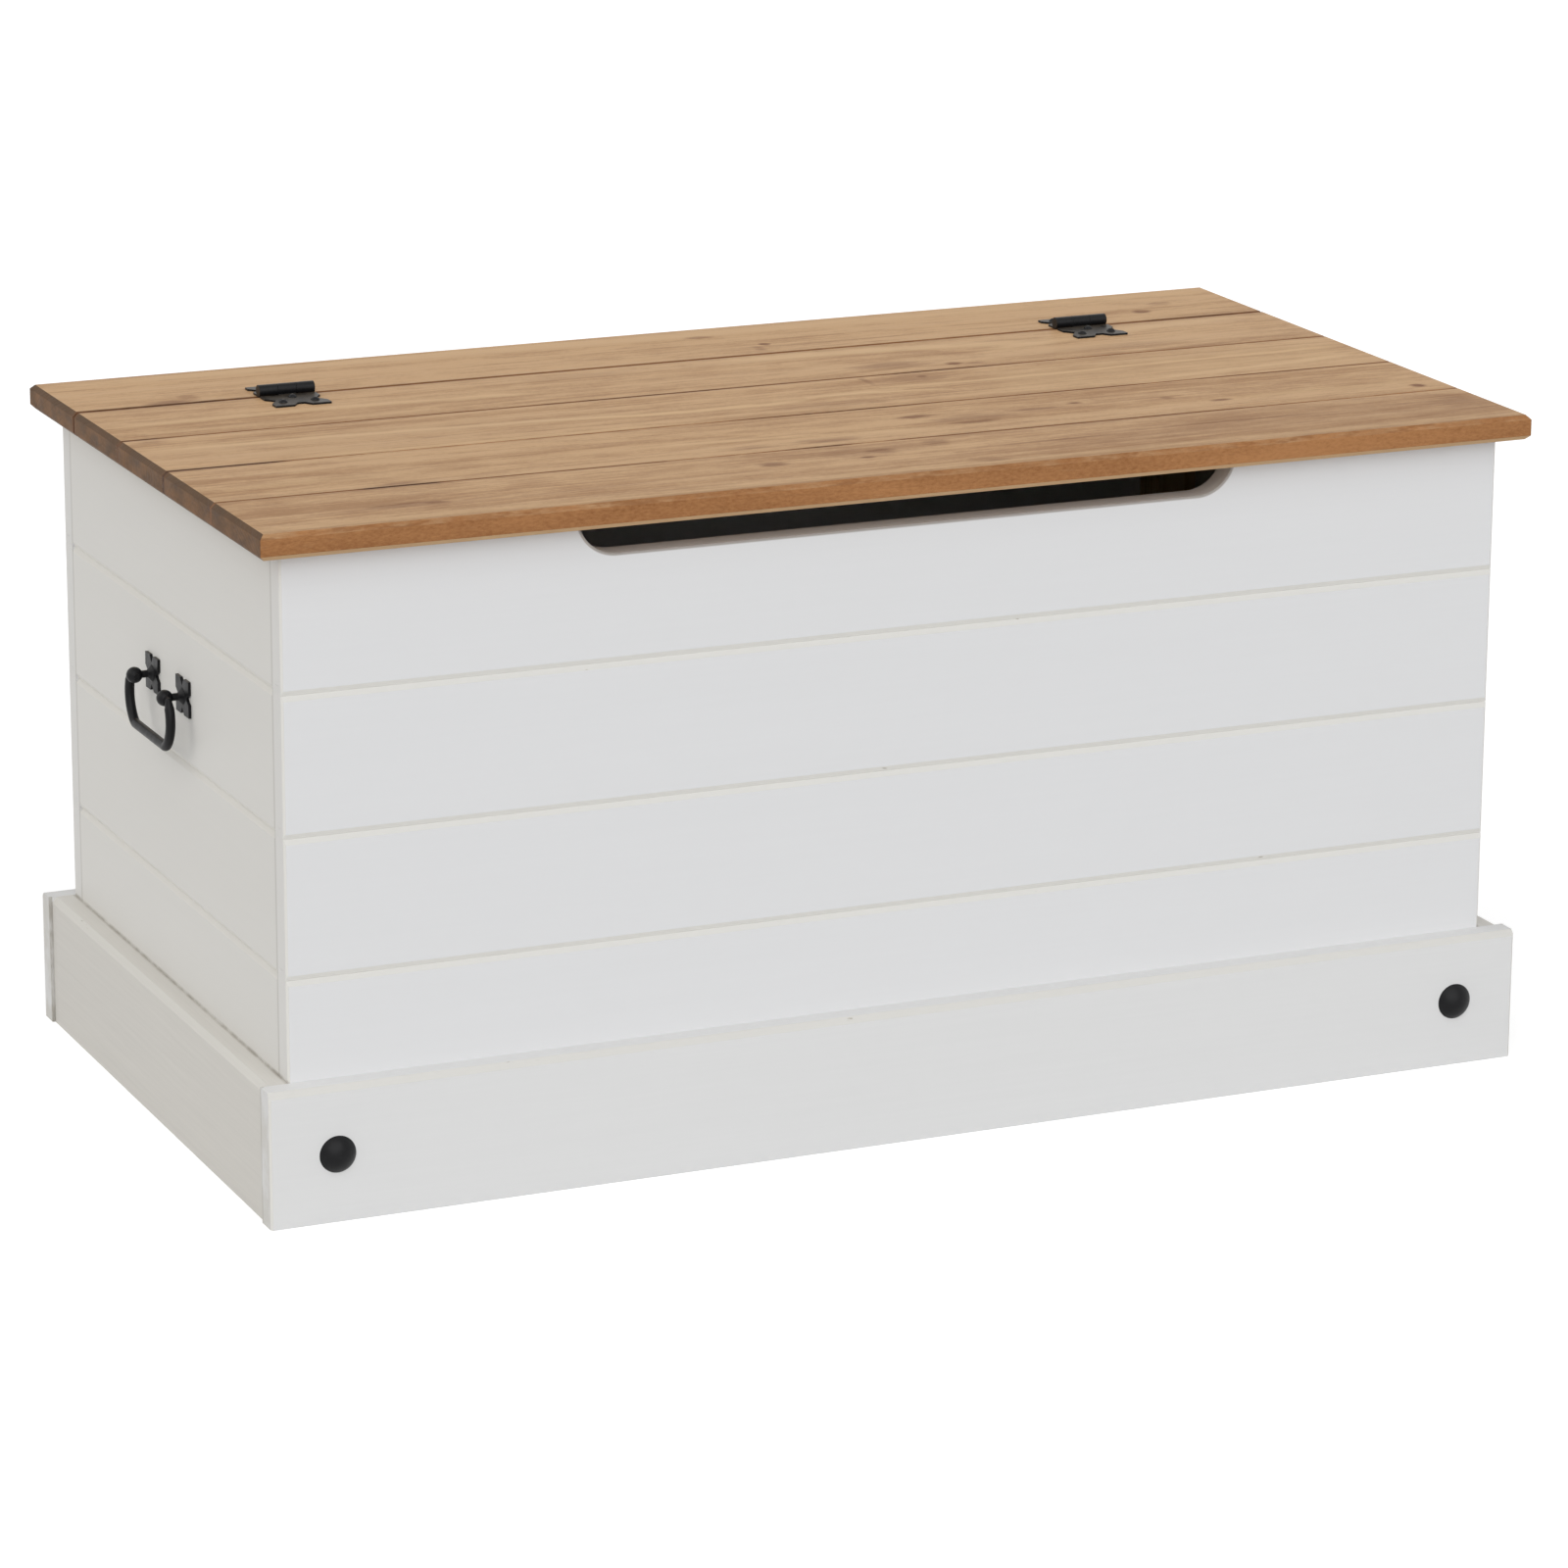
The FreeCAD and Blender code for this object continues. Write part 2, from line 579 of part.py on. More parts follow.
def lid_board_corners(order):
    """Cross-section of a lid board: front joint at y = 0, underside at z = 0."""
    if order == 1:
        corners = front_edge("dims.top_bevel")
    else:
        corners = [
            ("0", "0"),
            ("0", f"{TONGUE_LOW} - dims.tongue_clear"),
            (SLOT_LOW, f"{TONGUE_LOW} - dims.tongue_clear"),
            (SLOT_LOW, f"{TONGUE_HIGH} + dims.tongue_clear"),
            ("0", f"{TONGUE_HIGH} + dims.tongue_clear"),
            ("0", "dims.board - dims.seam_bevel"),
            ("dims.seam_bevel", "dims.board"),
        ]
    if order == LID_BOARDS:
        return corners + rear_edge("dims.seam_bevel", LID_BOARD)
    return corners + [
        (f"{LID_BOARD} - dims.seam_bevel", "dims.board"),
        (LID_BOARD, "dims.board - dims.seam_bevel"),
        (LID_BOARD, TONGUE_HIGH),
        (f"{LID_BOARD} + dims.tongue_tall", TONGUE_HIGH),
        (f"{LID_BOARD} + dims.tongue_tall", TONGUE_LOW),
        (LID_BOARD, TONGUE_LOW),
        (LID_BOARD, "0"),
    ]


# A batten screw goes into each lid board, halfway along the batten's run on that board
BATTEN_FRONT = f"(-{INNER_DEPTH} / 2 + dims.batten_clear)"
BATTEN_REAR = f"({LID_REAR} - dims.batten_setback)"
BATTEN_BOTTOM = f"({WALL_TOP} - dims.batten_thick)"
lid_joints = [f"({LID_FRONT} + {order} * {LID_BOARD})" for order in range(LID_BOARDS)]
batten_run = [BATTEN_FRONT] + lid_joints[1:] + [BATTEN_REAR]
batten_screw_y = [f"(({front} + {rear}) / 2)" for front, rear in zip(batten_run, batten_run[1:])]

lid_boards = {}
for order, (joint, screw_y) in enumerate(zip(lid_joints, batten_screw_y), start=1):
    body = new_body(f"lid_board_{order}")
    pad(body, outline(body, "section", "YZ_Plane", [lid_board_corners(order)]), TOP_LENGTH, both_ways=True)
    cut(body, outline(body, "ends", "XZ_Plane", end_bevels()))
    places = [(f"{step} * dims.batten_pitch", f"{screw_y} - {joint}") for step in PAIR]
    holes = circles(body, "batten_holes", "XY_Plane", SCREW_HOLE, places)
    cut(body, holes, BITE_HOLE, with_normal=True)
    lid_boards[order] = keep(place(body, y=joint, z=WALL_TOP))

# Battens under the lid, clear of the front wall and of the rail
for name, step in zip(("left", "right"), PAIR):
    batten = new_body(f"lid_batten_{name}")
    half = "dims.batten_wide / 2"
    plan = [(f"-{half}", BATTEN_FRONT), (half, BATTEN_FRONT), (half, BATTEN_REAR), (f"-{half}", BATTEN_REAR)]
    pad(batten, outline(batten, "plan", "XY_Plane", [plan]), "dims.batten_thick")
    cut(batten, circles(batten, "holes", "XY_Plane", SCREW_HOLE, [("0", along) for along in batten_screw_y]))
    keep(place(batten, x=f"{step} * dims.batten_pitch", z=BATTEN_BOTTOM))

# Domed fasteners: the head rests on z = 0 and the shank points down


def dome(label, diameter, rise):
    """A spherical cap that stands on z = 0."""
    radius = f"(({diameter}) ^ 2 / 4 + ({rise}) ^ 2) / (2 * {rise})"
    lowest = f"asin(1 - {rise} / ({radius}))"
    return primitive("Sphere", label, z=f"{rise} - {radius}", Radius=radius, Angle1=lowest)


def domed_pin(label, diameter, rise, shank, length):
    """A domed head fused to a plain shank."""
    head = dome(f"{label}_head", diameter, rise)
    stem = primitive("Cylinder", f"{label}_stem", z=f"-({length})", Radius=f"{shank} / 2", Height=length)
    return joined(label, [head, stem])


def wood_screw(label, length):
    return domed_pin(label, "dims.screw_head", "dims.screw_rise", "dims.screw_dia", length)


# Turns that bring a head's axis from +Z to the inside of a wall, so that the shank points out
INWARD = {
    "front": turned((1, 0, 0), -90),
    "back": turned((1, 0, 0), 90),
    "left": turned((0, 1, 0), 90),
    "right": turned((0, 1, 0), -90),
}

post_screw = wood_screw("post_screw_pattern", "dims.post_size + dims.screw_bite")
places = []
for side, turn in WALLS.items():
    across = turn in (FRONT, BACK)
    post = POST_X if across else POST_Y
    out = f"{INNER_DEPTH} / 2 - dims.post_size" if across else f"{INNER_WIDTH} / 2 - dims.post_size"
    stagger = "+ dims.screw_stagger" if across else "- dims.screw_stagger"
    for level in post_levels:
        for sign in ("-", ""):
            x, y, z, _ = facing(turn, f"{sign}{post}", out, f"{level} {stagger}")
            places.append((x, y, z, INWARD[side]))
group("post_screws", post_screw, places)

base_screw = wood_screw("base_screw_pattern", "dims.cleat_size + dims.board + dims.screw_bite")
places = []
for side, turn in WALLS.items():
    across = turn in (FRONT, BACK)
    out = f"{INNER_DEPTH} / 2 - dims.cleat_size" if across else f"{INNER_WIDTH} / 2 - dims.cleat_size"
    for along in base_row(turn):
        x, y, z, _ = facing(turn, along, out, BASE_SCREW_Z)
        places.append((x, y, z, INWARD[side]))
group("base_screws", base_screw, places)

batten_screw = wood_screw("batten_screw_pattern", "dims.batten_thick + dims.screw_bite")
upside_down = turned((1, 0, 0), 180)
places = []
for step in PAIR:
    for along in batten_screw_y:
        places.append((f"{step} * dims.batten_pitch", along, BATTEN_BOTTOM, upside_down))
group("batten_screws", batten_screw, places)

stud = domed_pin("stud_pattern", "dims.stud_dia", "dims.stud_rise", "dims.stud_shank_dia", "dims.stud_shank")
stud_x = f"({PLINTH_FRONT_LENGTH} / 2 - dims.stud_inset)"
stud_y = "-(dims.body_depth / 2 + dims.board)"
places = [(f"{sign}{stud_x}", stud_y, "dims.plinth_tall / 2", INWARD["back"]) for sign in ("-", "")]
group("plinth_studs", stud, places)

dowel_length = "dims.dowel_wall + dims.dowel_rail"
dowel = primitive("Cylinder", "dowel_pattern", Radius="dims.dowel_dia / 2", Height=dowel_length)
dowel_base = f"{WALL_TOP} - dims.dowel_wall"
places = [(x, f"{RAIL_FRONT} + {y}", dowel_base, None) for x, y in dowel_places]
group("rail_dowels", dowel, places)

# Butterfly hinges: the pin's axis is local X, the rail leaf lies towards +Y and the lid leaf towards -Y
KNUCKLE_EDGE = "(dims.barrel_long / 6 + dims.knuckle_gap / 2)"
KNUCKLE_FACE = "(dims.barrel_long / 6 - dims.knuckle_gap / 2)"
ROOT = "(dims.barrel_dia / 2 + dims.barrel_clear)"
LEAF_HOLE = "(dims.leaf_screw_dia + 2 * dims.leaf_hole_clear)"


def screw_places(leaf):
    """One screw near the pin and a pair farther out, for the leaf or rail sizes."""
    return [
        ("0", f"dims.{leaf}_screw_near"),
        ("-dims.leaf_screw_spread / 2", f"dims.{leaf}_screw_far"),
        ("dims.leaf_screw_spread / 2", f"dims.{leaf}_screw_far"),
    ]


def leaf_side(reach):
    """Notched side and end of a leaf. The side notch keeps its share of the reach."""
    share = f"{reach} / dims.leaf_reach"
    return [
        ("dims.leaf_wide / 2", f"dims.waist_start * {share}"),
        ("dims.leaf_wide / 2 - dims.leaf_waist", f"dims.waist_deepest * {share}"),
        ("dims.leaf_wide / 2", f"dims.waist_end * {share}"),
        ("dims.leaf_wide / 2", reach),
        ("dims.notch_mouth / 2", reach),
        ("dims.notch_floor / 2", f"{reach} - dims.leaf_notch"),
    ]


lid_screws = screw_places("leaf")
rail_screws = screw_places("rail")


def mirrored(half):
    """A half outline with x > 0, followed by its mirror image, back to the start."""
    return half + [(f"-({x})", y) for x, y in reversed(half)]


def hinge_leaf(label, middle_knuckle):
    """A leaf with its knuckles: the middle one, or the two outer ones."""
    body = new_body(label)
    flat = "dims.leaf_thick - dims.barrel_dia / 2"
    if middle_knuckle:
        root = [(KNUCKLE_FACE, "0"), (KNUCKLE_FACE, ROOT), ("dims.leaf_wide / 2", ROOT)]
        spans = [(f"-{KNUCKLE_FACE}", f"2 * {KNUCKLE_FACE}")]
        plates = [mirrored(root + leaf_side("dims.leaf_reach"))]
        screws = lid_screws
    else:
        inner = [(KNUCKLE_EDGE, ROOT), (KNUCKLE_EDGE, "0"), ("dims.barrel_long / 2", "0")]
        inner += [("dims.barrel_long / 2", ROOT), ("dims.leaf_wide / 2", ROOT)]
        outer_length = f"dims.barrel_long / 2 - {KNUCKLE_EDGE}"
        spans = [("-dims.barrel_long / 2", outer_length), (KNUCKLE_EDGE, outer_length)]
        plates = [mirrored(inner + leaf_side("dims.rail_leaf_reach"))]
        screws = rail_screws
    pad(body, outline(body, "plate", "XY_Plane", plates, flat), "dims.leaf_thick", backwards=True)
    for order, (start, length) in enumerate(spans, start=1):
        ring = circles(body, f"knuckle_{order}", "YZ_Plane", "dims.barrel_dia", [("0", "0")], start)
        pad(body, ring, length)
    bore = "dims.hinge_pin_dia + 2 * dims.running_clear"
    cut(body, circles(body, "bore", "YZ_Plane", bore, [("0", "0")]))
    cut(body, circles(body, "screw_holes", "XY_Plane", LEAF_HOLE, screws))
    return keep(body)


hinge_screw = domed_pin(
    "hinge_screw_pattern",
    "dims.leaf_screw_head",
    "dims.leaf_screw_rise",
    "dims.leaf_screw_dia",
    "dims.leaf_thick + dims.leaf_screw_bite",
)
leaf_top = f"{TOP_FACE} + dims.leaf_thick"
rail_places = []
lid_places = []
rail_holes = []
lid_holes = []
for side, sign in (("left", "-"), ("right", "")):
    centre = f"{sign}dims.hinge_pitch / 2"
    place(hinge_leaf(f"{side}_hinge_rail_leaf", False), centre, HINGE_Y, HINGE_Z)
    place(hinge_leaf(f"{side}_hinge_lid_leaf", True), centre, HINGE_Y, HINGE_Z, BACK)
    pivot = primitive(
        "Cylinder",
        f"{side}_hinge_pin",
        f"{centre} - dims.barrel_long / 2",
        HINGE_Y,
        HINGE_Z,
        turned((0, 1, 0), 90),
        Radius="dims.hinge_pin_dia / 2",
        Height="dims.barrel_long",
    )
    keep(pivot)
    for x, y in rail_screws:
        rail_places.append((f"{centre} + {x}", f"{HINGE_Y} + {y}", leaf_top, None))
        rail_holes.append((f"{centre} + {x}", f"{y} - dims.lid_gap / 2"))
    for x, y in lid_screws:
        lid_places.append((f"{centre} + {x}", f"{HINGE_Y} - {y}", leaf_top, None))
        lid_holes.append((f"{centre} + {x}", f"{LID_BOARD} + dims.lid_gap / 2 - {y}"))
group("rail_leaf_screws", hinge_screw, rail_places)
group("lid_leaf_screws", hinge_screw, lid_places)
for body, places in ((rail, rail_holes), (lid_boards[LID_BOARDS], lid_holes)):
    holes = circles(body, "hinge_holes", "XY_Plane", LEAF_SCREW_HOLE, places, "dims.board")
    cut(body, holes, "dims.leaf_screw_bite + dims.tip_clear")

# Bail handles: local x runs along the wall, -Y points out, y = 0 is the wall's outer face
OUTWARD = turned((1, 0, 0), 90)
half_wide = "dims.plate_wide / 2"
half_tall = "dims.plate_tall / 2"
half_mouth = "dims.plate_mouth / 2"
plate_half = [
    ("0", f"-({half_tall} - dims.plate_notch)"),
    (half_mouth, f"-{half_tall}"),
    (half_wide, f"-{half_tall}"),
    (half_wide, f"-{half_mouth}"),
    (f"{half_wide} - dims.plate_notch", "0"),
    (half_wide, half_mouth),
    (half_wide, half_tall),
    (half_mouth, half_tall),
    ("0", f"{half_tall} - dims.plate_notch"),
]
plate = new_body("handle_plate_pattern")
plate_corners = plate_half + [(f"-({x})", y) for x, y in reversed(plate_half[1:-1])]
pad(plate, outline(plate, "outline", "XZ_Plane", [plate_corners]), "dims.plate_thick")
cut(plate, circles(plate, "hole", "XZ_Plane", BOLT_HOLE, [("0", "0")]))

bolt_inside = "(dims.board + dims.nut_thick + dims.bolt_tail)"
collar_face = "(dims.plate_thick + dims.collar_thick)"
bolt = primitive(
    "Cylinder",
    "post_bolt",
    y=bolt_inside,
    turn=OUTWARD,
    Radius="dims.bolt_dia / 2",
    Height=f"{bolt_inside} + {collar_face}",
)
collar = primitive(
    "Cone",
    "post_collar",
    y="-dims.plate_thick",
    turn=OUTWARD,
    Radius1="dims.collar_dia / 2",
    Radius2="dims.neck_dia / 2",
    Height="dims.collar_thick",
)
neck = primitive(
    "Cylinder",
    "post_neck",
    y="-dims.plate_thick",
    turn=OUTWARD,
    Radius="dims.neck_dia / 2",
    Height="dims.ball_offset - dims.plate_thick",
)
ball = primitive("Sphere", "post_ball", y="-dims.ball_offset", Radius="dims.ball_dia / 2")
solid_post = joined("handle_post_solid", [bolt, collar, neck, ball])
pin_bore = primitive(
    "Cylinder",
    "post_bore",
    x="-dims.ball_dia",
    y="-dims.ball_offset",
    turn=turned((0, 1, 0), 90),
    Radius="dims.bail_pin_dia / 2 + dims.running_clear",
    Height="2 * dims.ball_dia",
)
post_pattern = without("handle_post_pattern", solid_post, pin_bore)

nut_solid = primitive(
    "Prism", "nut_solid", turn=OUTWARD, Circumradius="dims.nut_flats / sqrt(3)", Height="dims.nut_thick"
)
nut_bore = primitive(
    "Cylinder",
    "nut_bore",
    y="dims.nut_thick",
    turn=OUTWARD,
    Radius="dims.bolt_dia / 2 + dims.running_clear",
    Height="3 * dims.nut_thick",
)
nut_pattern = without("nut_pattern", nut_solid, nut_bore)

for side in ("left", "right"):
    turn = WALLS[side]
    spots = [f"{step} * dims.handle_pitch" for step in PAIR]
    on_wall = [facing(turn, spot, "dims.body_width / 2", HANDLE_Z) for spot in spots]
    inside = f"{INNER_WIDTH} / 2 - dims.nut_thick"
    group(f"{side}_handle_plates", plate, on_wall)
    group(f"{side}_handle_posts", post_pattern, on_wall)
    group(f"{side}_handle_nuts", nut_pattern, [facing(turn, spot, inside, HANDLE_Z) for spot in spots])

# Bail: a round rod bent in the local XZ plane, with a pin at each end that turns in a ball
TAPER_LEAN = 15
TIP_X = "(dims.handle_pitch / 2 + dims.ball_dia / 2 + dims.bail_side_clear + dims.bail_tip / 2)"
LEG_X = f"({TIP_X} + dims.bail_taper * tan({TAPER_LEAN} deg))"


def bail_path(body):
    """Centre line: bowed leg, bend, bottom bar, bend, bowed leg."""
    tip_x = size("handle_pitch") / 2 + size("ball_dia") / 2 + size("bail_side_clear") + size("bail_tip") / 2
    taper = size("bail_taper")
    reach = tip_x + taper * math.tan(math.radians(TAPER_LEAN))
    bow = size("bow_radius")
    bend = size("bail_corner")
    middle_x = reach - (bow**2 - (size("bow_drop") - taper) ** 2) ** 0.5
    rise = size("bail_drop") - bend - size("bow_drop")
    bar_x = middle_x + ((bow - bend) ** 2 - rise**2) ** 0.5
    sketch = new_sketch(body, "path", "XZ_Plane")
    ends = []
    for sign in (1, -1):
        bow_centre = FreeCAD.Vector(sign * middle_x, -size("bow_drop"), 0)
        bend_centre = FreeCAD.Vector(sign * bar_x, bend - size("bail_drop"), 0)
        slope = (bend_centre - bow_centre).normalize()
        top = FreeCAD.Vector(sign * reach, -taper, 0)
        meet = bow_centre + slope * bow
        foot = bend_centre - FreeCAD.Vector(0, bend, 0)
        halfway = ((top - bow_centre).normalize() + slope).normalize()
        low = (slope + FreeCAD.Vector(0, -1, 0)).normalize()
        leg = sketch.addGeometry(Part.Arc(top, bow_centre + halfway * bow, meet))
        corner = sketch.addGeometry(Part.Arc(meet, bend_centre + low * bend, foot))
        ends.append((leg, corner, foot))
    (right_leg, right_corner, right_foot), (left_leg, left_corner, left_foot) = ends
    bar = sketch.addGeometry(Part.LineSegment(right_foot, left_foot))
    # An arc's start and end follow its own sense, so the two sides read the other way round
    joints = [
        (right_leg, 1, right_corner, 2),
        (right_corner, 1, bar, 1),
        (left_leg, 2, left_corner, 1),
        (left_corner, 2, bar, 2),
    ]
    for one, one_end, other, other_end in joints:
        sketch.addConstraint(Sketcher.Constraint("Tangent", one, one_end, other, other_end))
    sketch.addConstraint(Sketcher.Constraint("Equal", right_leg, left_leg))
    sketch.addConstraint(Sketcher.Constraint("Equal", right_corner, left_corner))
    sketch.addConstraint(Sketcher.Constraint("Horizontal", bar))
    for arc, radius in ((right_leg, "bow_radius"), (right_corner, "bail_corner")):
        index = sketch.addConstraint(Sketcher.Constraint("Radius", arc, size(radius)))
        sketch.setExpression(f"Constraints[{index}]", f"dims.{radius}")
    for leg, top_end, x, start in ((right_leg, 2, LEG_X, reach), (left_leg, 1, f"-{LEG_X}", -reach)):
        pin(sketch, "DistanceX", leg, top_end, x, start)
        pin(sketch, "DistanceY", leg, top_end, "-dims.bail_taper", -taper)
        pin(sketch, "DistanceY", leg, 3, "-dims.bow_drop", -size("bow_drop"))
    pin(sketch, "DistanceY", bar, 1, "-dims.bail_drop", -size("bail_drop"))
    return sketch


def bail(side):
    """The bent rod with its tapered tops and inward pins."""
    rod = new_body(f"{side}_bail_rod")
    path = bail_path(rod)
    ring = rod.newObject("Sketcher::SketchObject", f"{side}_bail_section")
    ring.AttachmentSupport = (path, ["Edge1"])
    ring.MapMode = "NormalToEdge"
    ring.MapPathParameter = 1
    circle = ring.addGeometry(Part.Circle(FreeCAD.Vector(), FreeCAD.Vector(0, 0, 1), 3.0))
    ring.addConstraint(Sketcher.Constraint("Coincident", circle, 3, -1, 1))
    index = ring.addConstraint(Sketcher.Constraint("Diameter", circle, 6.0))
    ring.setExpression(f"Constraints[{index}]", "dims.bail_rod")
    pipe = rod.newObject("PartDesign::AdditivePipe", f"{side}_bail_pipe")
    pipe.Profile = ring
    pipe.Spine = path
    pieces = [rod]
    for name, sign, degrees in (("back", "-", 90), ("front", "", -90)):
        leg = f"{sign}{LEG_X}"
        tip = f"{sign}{TIP_X}"
        low = "-dims.bail_taper"
        pieces.append(primitive("Sphere", f"{side}_bail_bend_{name}", x=leg, z=low, Radius="dims.bail_rod / 2"))
        pieces.append(
            primitive(
                "Cone",
                f"{side}_bail_taper_{name}",
                x=leg,
                z=low,
                turn=turned((0, 1, 0), math.copysign(TAPER_LEAN, degrees)),
                Radius1="dims.bail_rod / 2",
                Radius2="dims.bail_tip / 2",
                Height=f"dims.bail_taper / cos({TAPER_LEAN} deg)",
            )
        )
        pieces.append(primitive("Sphere", f"{side}_bail_tip_{name}", x=tip, Radius="dims.bail_tip / 2"))
        length = f"{TIP_X} - dims.handle_pitch / 2 + dims.ball_dia / 2"
        pieces.append(
            primitive(
                "Cylinder",
                f"{side}_bail_pin_{name}",
                x=tip,
                turn=turned((0, 1, 0), degrees),
                Radius="dims.bail_pin_dia / 2",
                Height=length,
            )
        )
    piece = joined(f"{side}_handle_bail", pieces)
    place(piece, *facing(WALLS[side], "0", "dims.body_width / 2 + dims.ball_offset", HANDLE_Z))
    return keep(piece)


for side in ("left", "right"):
    bail(side)

doc.recompute()

# Every object must have rebuilt, and every sub-part must be sound, before anything is written
for item in doc.Objects:
    if "Invalid" in item.State or "Error" in item.State:
        raise RuntimeError(f"{item.Label} did not rebuild: {item.State}")
for node in nodes:
    if node.Shape.isNull() or not node.Shape.isValid() or not node.Shape.Solids:
        raise RuntimeError(f"{node.Label} has no sound solid")

os.makedirs("parts", exist_ok=True)
for node in nodes:
    node.Shape.exportStep(f"parts/{node.Label}.step")
print(f"{len(nodes)} sub-parts, {sum(len(node.Shape.Solids) for node in nodes)} solids")
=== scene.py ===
# %% [markdown]
# This trunk is a blanket chest: horizontal pine planks painted white, a waxed pine top, and black iron
# hinges, handles and studs. Every board and fitting was built at its real size before this script starts,
# so the boards come in as a finished frame and this lesson gives them their surfaces, light and camera.
# The box around the frame is kept now, so that the end of the script can show that nothing has grown.

# %% Load the frame
import math

import bpy
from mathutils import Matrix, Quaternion, Vector


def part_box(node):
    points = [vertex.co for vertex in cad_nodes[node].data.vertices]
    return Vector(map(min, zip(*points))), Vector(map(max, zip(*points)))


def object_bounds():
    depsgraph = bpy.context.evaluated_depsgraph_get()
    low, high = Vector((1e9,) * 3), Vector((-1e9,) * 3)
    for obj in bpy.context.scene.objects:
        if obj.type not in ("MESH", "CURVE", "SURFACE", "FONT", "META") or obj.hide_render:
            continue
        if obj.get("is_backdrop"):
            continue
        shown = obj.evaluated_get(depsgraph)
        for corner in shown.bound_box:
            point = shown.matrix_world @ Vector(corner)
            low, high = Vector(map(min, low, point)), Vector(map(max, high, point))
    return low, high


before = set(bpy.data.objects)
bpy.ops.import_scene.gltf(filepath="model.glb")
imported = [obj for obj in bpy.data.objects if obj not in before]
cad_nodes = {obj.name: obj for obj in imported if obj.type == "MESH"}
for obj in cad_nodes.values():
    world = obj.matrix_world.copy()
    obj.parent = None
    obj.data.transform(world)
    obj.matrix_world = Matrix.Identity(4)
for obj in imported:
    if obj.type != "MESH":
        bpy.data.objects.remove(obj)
cad_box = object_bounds()
print(f"{len(cad_nodes)} pieces, {[round(side, 4) for side in cad_box[1] - cad_box[0]]} m over all")

# %% [markdown]
# The photograph looks at the trunk from the front left and a little above, through a long lens. A camera
# could be moved by eye until the edges agree. It is better to solve for it: the numbers below come from
# fitting a pinhole camera to the corners of the lid, walls and plinth. A focal length found in pixels
# becomes a lens in millimetres through the sensor's width, because both measure the same picture.

# %% Camera
PHOTO_SIDE = 1600
FOCAL_PIXELS = 6260.1
SENSOR_WIDTH = 36.0
CAMERA_PLACE = Vector((-1.6571, -3.7612, 1.3517))
AZIMUTH = math.radians(-23.889)
ELEVATION = math.radians(15.858)
ROLL = math.radians(0.307)

camera_data = bpy.data.cameras.new("photo_camera")
camera_data.sensor_width = SENSOR_WIDTH
camera_data.lens = FOCAL_PIXELS / PHOTO_SIDE * SENSOR_WIDTH
camera = bpy.data.objects.new("photo_camera", camera_data)
bpy.context.scene.collection.objects.link(camera)
level = math.cos(ELEVATION)
backward = Vector((math.sin(AZIMUTH) * level, -math.cos(AZIMUTH) * level, math.sin(ELEVATION)))
camera.location = CAMERA_PLACE
camera.rotation_mode = "QUATERNION"
camera.rotation_quaternion = (-backward).to_track_quat("-Z", "Y") @ Quaternion((0, 0, 1), ROLL)
bpy.context.scene.camera = camera
bpy.context.scene.view_settings.view_transform = "Standard"
print(f"lens {camera_data.lens:.1f} mm, {camera.location.length:.2f} m from the trunk")

# %% [markdown]
# A catalogue photograph is lit by very large soft boxes, so that every face is bright and shadows are only
# hinted at. A sun lamp with a wide angle gives that softness and lights the whole floor evenly, where an
# area lamp would fade into a grey patch behind the object. Each lamp is given by the direction it shines
# from and by its level, and a level of 1 on a face that looks straight at it shows colours as written.

# %% Lamps


def soft_lamp(name, shines_from, level, spread, tint):
    """A wide sun lamp, with its spread in degrees.

    Its strength is pi times the level, because a matt face spreads light over a half sphere.
    """
    data = bpy.data.lights.new(name, "SUN")
    data.energy = level * math.pi
    data.angle = math.radians(spread)
    data.color = tint
    lamp = bpy.data.objects.new(name, data)
    lamp.rotation_mode = "QUATERNION"
    lamp.rotation_quaternion = (-Vector(shines_from)).to_track_quat("-Z", "Y")
    bpy.context.scene.collection.objects.link(lamp)
    return lamp


LAMPS = [
    soft_lamp("front_box", (-0.15, -0.85, 0.60), 0.54, 70, (0.98, 0.99, 1.0)),
    soft_lamp("left_box", (-0.80, 0.25, 0.55), 0.22, 50, (1.0, 0.97, 0.92)),
]
print(f"{len(LAMPS)} lamps")

# %% [markdown]
# The background of the photograph is plain white. Making the room bright enough for that would wash out
# the white paint. The Light Path node avoids it: rays that come straight from the camera, or off something
# shiny, see white, while the rays that light the trunk see a dimmer sky. The floor does the same trick with
# added glow, so it is white in the photograph's view and takes only a faint shadow behind the trunk.

# %% Sky and floor
SKY_LEVEL = 0.42
FLOOR_COLOUR = (0.66, 0.66, 0.66, 1)
FLOOR_GLOW = 0.57
FLOOR_HALF = 30.0


def seen_directly(tree):
    """1 for rays from the camera, from a mirror-like bounce or through glass, 0 for rays that carry light."""
    path = tree.nodes.new("ShaderNodeLightPath")
    seen = path.outputs["Is Camera Ray"]
    for other in ("Is Glossy Ray", "Is Transmission Ray"):
        either = tree.nodes.new("ShaderNodeMath")
        either.operation = "MAXIMUM"
        tree.links.new(seen, either.inputs[0])
        tree.links.new(path.outputs[other], either.inputs[1])
        seen = either.outputs[0]
    return seen


sky = bpy.data.worlds.new("studio_sky")
sky.use_nodes = True
sky_strength = sky.node_tree.nodes.new("ShaderNodeMapRange")
sky_strength.inputs["To Min"].default_value = SKY_LEVEL
sky_strength.inputs["To Max"].default_value = 1.0
sky_light = sky.node_tree.nodes["Background"]
sky_light.inputs["Color"].default_value = (1, 1, 1, 1)
sky.node_tree.links.new(seen_directly(sky.node_tree), sky_strength.inputs["Value"])
sky.node_tree.links.new(sky_strength.outputs["Result"], sky_light.inputs["Strength"])
bpy.context.scene.world = sky

